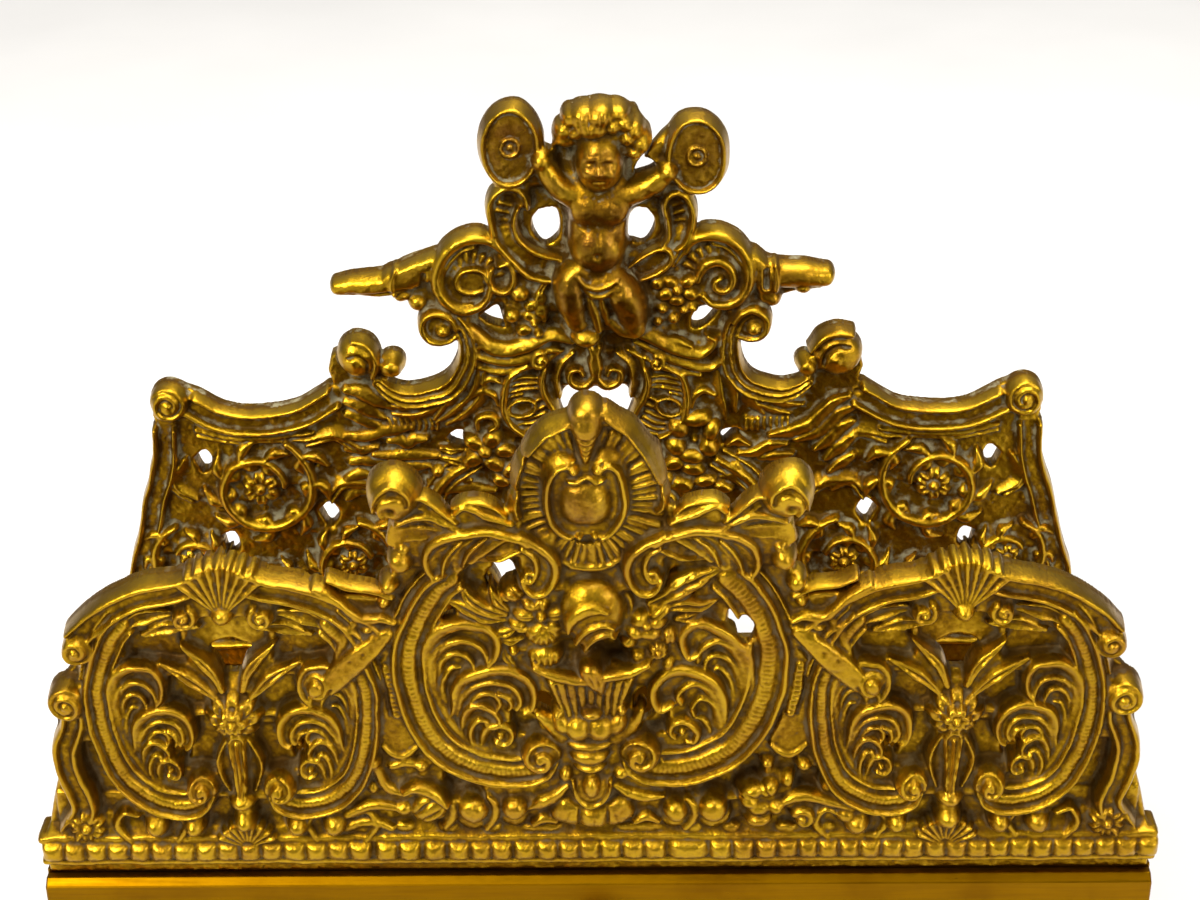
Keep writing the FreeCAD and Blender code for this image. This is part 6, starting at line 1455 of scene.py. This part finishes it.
def brass(name, tint, rough, scale, strength):
    m = Nodes(name)
    streak = m.noise(1.0, 4.0, 0.6, vec=m.stretch(*scale))
    blot = m.noise(38.0, 4.0, 0.6)
    grain = m.noise(600.0, 3.0, 0.5)
    r, g, b = tint
    col = m.ramp(blot, [(0.28, (r * 0.72, g * 0.66, b * 0.55)), (0.5, tint), (0.72, (min(r * 1.1, 1), min(g * 1.12, 1), b * 1.25))])
    col = m.mix(m.math("MULTIPLY", m.ramp(streak, [(0.4, 0.0), (0.7, 1.0)]), 0.3), col, (r * 0.62, g * 0.55, b * 0.45))
    m.link(col, m.bsdf.inputs["Base Color"])
    m.bsdf.inputs["Metallic"].default_value = 1.0
    rr = m.math("ADD", m.ramp(streak, [(0.3, rough * 0.8), (0.7, rough * 1.3)]), m.math("MULTIPLY", m.math("SUBTRACT", grain, 0.5), 0.12), clamp=True)
    m.link(rr, m.bsdf.inputs["Roughness"])
    m.bump(m.math("ADD", m.math("MULTIPLY", streak, 0.6), m.math("MULTIPLY", grain, 0.4)), strength, 0.0002)
    return m.mat


def steel():
    m = Nodes("screw_steel")
    n = m.noise(300.0, 4.0, 0.6)
    m.link(m.ramp(n, [(0.3, (0.30, 0.28, 0.25)), (0.7, (0.52, 0.50, 0.47))]), m.bsdf.inputs["Base Color"])
    m.bsdf.inputs["Metallic"].default_value = 1.0
    m.link(m.ramp(n, [(0.3, 0.5), (0.7, 0.3)]), m.bsdf.inputs["Roughness"])
    m.bump(n, 0.2, 0.0001)
    return m.mat


def floor_paper():
    m = Nodes("pale_floor")
    n = m.noise(9.0, 4.0, 0.5)
    m.link(m.ramp(n, [(0.3, (0.62, 0.617, 0.61)), (0.7, (0.65, 0.647, 0.64))]), m.bsdf.inputs["Base Color"])
    m.link(m.ramp(n, [(0.3, 0.85), (0.7, 0.95)]), m.bsdf.inputs["Roughness"])
    m.bump(m.noise(400.0, 3.0, 0.5), 0.05, 0.0002)
    return m.mat


GILT = gilt_casting()
# the sheet's dark tint is a painted reflection: its upright faces are darkened as if mirroring a dark room, darker than
# the same brass when turned
SHEET = brass("brass_sheet", (0.205, 0.095, 0.0005), 0.36, (60.0, 1400.0, 1400.0), 0.10)
TURNED = brass("turned_brass", (0.36, 0.20, 0.014), 0.28, (900.0, 900.0, 900.0), 0.06)
STEEL = steel()
FINISH = {"brass_sheet": SHEET, "turned_brass": TURNED, "screw_steel": STEEL, "gilt_casting": GILT}

for part in frame["record"]["subparts"]:
    node = frame["nodes"][part["node"]]
    node.data.materials.clear()
    node.data.materials.append(FINISH[part["material_slot"]])

# ------------------------------------------------------------------ pieces
# last value: pale residue in the hollows, and below 1 also painted shade darkening the whole casting
for make, name, node, seed, gauge, dust_and_shade in ((front_casting, "front_casting", "front_panel", 11, 3.7, 0.25),
                                            (back_casting, "back_casting", "back_panel", 12, 5.4, 1.0)):
    relief = make()
    relief.finish(seed, gauge)
    ob = relief.mesh(name)
    at = ob.data.attributes.new("dust_and_shade", "FLOAT", "POINT")
    at.data.foreach_set("value", np.full(len(ob.data.vertices), dust_and_shade, np.float32))
    ob.data.materials.clear()
    ob.data.materials.append(GILT)
    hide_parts(node)
    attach(ob, "case")


def lathe(name, prof, place, seg=72):
    """Turned piece from (radius, height) pairs in mm; place puts its axis."""
    co, faces = [], []
    n = len(prof)
    for i in range(seg):
        a = 2 * math.pi * i / seg
        co += [place(r * math.cos(a), r * math.sin(a), h) for r, h in prof]
    for i in range(seg):
        j = (i + 1) % seg
        for k in range(n - 1):
            faces.append((i * n + k, j * n + k, j * n + k + 1, i * n + k + 1))
    faces.append(tuple(i * n for i in range(seg))[::-1])
    faces.append(tuple(i * n + n - 1 for i in range(seg)))
    me = bpy.data.meshes.new(name)
    me.from_pydata(co, [], faces)
    me.polygons.foreach_set("use_smooth", np.ones(len(me.polygons), bool))
    me.set_sharp_from_angle(angle=math.radians(38))
    me.materials.append(TURNED)
    ob = bpy.data.objects.new(name, me)
    bpy.context.scene.collection.objects.link(ob)
    return ob


for node in ("foot_front_left", "foot_front_right", "foot_back_left", "foot_back_right"):
    a, b = (1000.0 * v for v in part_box(node))
    cx, cy, r, h = 0.5 * (a.x + b.x), 0.5 * (a.y + b.y), 0.5 * (b.x - a.x), b.z - a.z
    shape = [(0.62, 0.0), (0.68, 0.03), (0.70, 0.08), (0.68, 0.13), (0.80, 0.18), (0.92, 0.27), (0.985, 0.39), (0.995, 0.50), (0.96, 0.61), (0.86, 0.71), (0.72, 0.78),
             (0.66, 0.81), (0.66, 0.85), (0.76, 0.87), (0.80, 0.91), (0.80, 1.0)]
    ob = lathe(node + "_turned", [(u * r, v * h) for u, v in shape], lambda x, y, z: (0.001 * (cx + x), 0.001 * (cy + y), 0.001 * (a.z + z)))
    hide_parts(node)
    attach(ob, "case")
a, b = (1000.0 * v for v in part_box("drawer_front"))
shape = [(b.y, a.z), (b.y, b.z - 0.25), (b.y - 0.25, b.z), (a.y + 1.8, b.z), (a.y + 1.6, b.z - 0.1), (a.y + 0.25, b.z - 1.28), (a.y, b.z - 1.6),
         (a.y, a.z + 0.5), (a.y + 0.5, a.z)]
ends = [(a.x, 0.5), (a.x + 0.15, 0.15), (a.x + 0.5, 0.0), (b.x - 0.5, 0.0), (b.x - 0.15, 0.15), (b.x, 0.5)]
my, mz, n = 0.5 * (a.y + b.y), 0.5 * (a.z + b.z), len(shape)
co = [(0.001 * x, 0.001 * (y + inset * (1 if y < my else 0)), 0.001 * (z + inset * (1 if z < mz else -1))) for x, inset in ends for y, z in shape]
faces = [(i * n + k, i * n + (k + 1) % n, (i + 1) * n + (k + 1) % n, (i + 1) * n + k) for i in range(len(ends) - 1) for k in range(n)]
faces += [tuple(range(n))[::-1], tuple((len(ends) - 1) * n + k for k in range(n))]
me = bpy.data.meshes.new("drawer_front_bevelled")
me.from_pydata(co, [], faces)
me.materials.append(SHEET)
ob = bpy.data.objects.new("drawer_front_bevelled", me)
bpy.context.scene.collection.objects.link(ob)
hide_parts("drawer_front")
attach(ob, "drawer")
a, b = (1000.0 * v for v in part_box("drawer_knob"))
cx, cz, r, h = 0.5 * (a.x + b.x), 0.5 * (a.z + b.z), 0.5 * (b.x - a.x), b.y - a.y
shape = [(0.62, 0.0), (0.64, 0.04), (0.62, 0.08), (0.46, 0.12), (0.40, 0.22), (0.38, 0.34), (0.42, 0.44), (0.56, 0.52), (0.84, 0.58), (0.97, 0.66), (1.0, 0.74), (0.96, 0.83),
         (0.82, 0.91), (0.60, 0.95), (0.52, 0.95), (0.46, 0.97), (0.28, 0.995), (0.06, 1.0)]
ob = lathe("drawer_knob_turned", [(u * r, v * h) for u, v in shape], lambda x, y, z: (0.001 * (cx + x), 0.001 * (b.y - z), 0.001 * (cz + y)))
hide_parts("drawer_knob")
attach(ob, "drawer")

# ------------------------------------------------------------------ stage
me = bpy.data.meshes.new("floor")
me.from_pydata([(-3, -3, 0), (3, -3, 0), (3, 3, 0), (-3, 3, 0)], [], [(0, 1, 2, 3)])
me.materials.append(floor_paper())
floor = bpy.data.objects.new("floor", me)
bpy.context.scene.collection.objects.link(floor)

cam = bpy.data.cameras.new("camera")
cam.sensor_fit = "HORIZONTAL"
cam.sensor_width = 36.0
cam.lens = 36.0 * F_PX / 1200.0
cam.clip_start, cam.clip_end = 0.02, 50.0
camera = bpy.data.objects.new("camera", cam)
rot = Matrix((X_CAM, Y_CAM, -FWD)).transposed()
camera.matrix_world = Matrix.Translation(Vector(CAM) * 0.001) @ rot.to_4x4()
bpy.context.scene.collection.objects.link(camera)
bpy.context.scene.camera = camera


def area(name, loc, target, size, power, color=(1.0, 1.0, 1.0), size_y=None):
    li = bpy.data.lights.new(name, "AREA")
    li.energy, li.color, li.size = power, color, size
    if size_y:
        li.shape, li.size_y = "RECTANGLE", size_y
    ob = bpy.data.objects.new(name, li)
    ob.location = loc
    ob.rotation_euler = (Vector(target) - Vector(loc)).to_track_quat("-Z", "Y").to_euler()
    bpy.context.scene.collection.objects.link(ob)
    return ob


area("key", (-0.75, -0.75, 1.05), (0, 0, 0.1), 0.55, 23.5, (1.0, 0.96, 0.9))
area("top", (0.15, 0.1, 1.3), (0, 0, 0.1), 0.9, 21.0, (1.0, 0.98, 0.95))
area("fill", (1.0, -0.7, 0.6), (0, 0, 0.1), 0.6, 8.0, (1.0, 0.97, 0.93))

world = bpy.data.worlds.new("studio")
bpy.context.scene.world = world
world.use_nodes = True
wt = world.node_tree
bg = wt.nodes["Background"]
tc = wt.nodes.new("ShaderNodeTexCoord")
sx = wt.nodes.new("ShaderNodeSeparateXYZ")
wt.links.new(tc.outputs["Generated"], sx.inputs[0])
rp = wt.nodes.new("ShaderNodeValToRGB")
rp.color_ramp.elements[0].position = 0.0
rp.color_ramp.elements[0].color = (0.10, 0.09, 0.08, 1)
rp.color_ramp.elements[1].position = 0.8
rp.color_ramp.elements[1].color = (0.62, 0.61, 0.60, 1)
wt.links.new(sx.outputs[2], rp.inputs[0])
wt.links.new(rp.outputs[0], bg.inputs[0])
bg.inputs[1].default_value = 0.9

bpy.context.scene.view_settings.view_transform = "Standard"
bpy.context.scene.view_settings.look = "None"
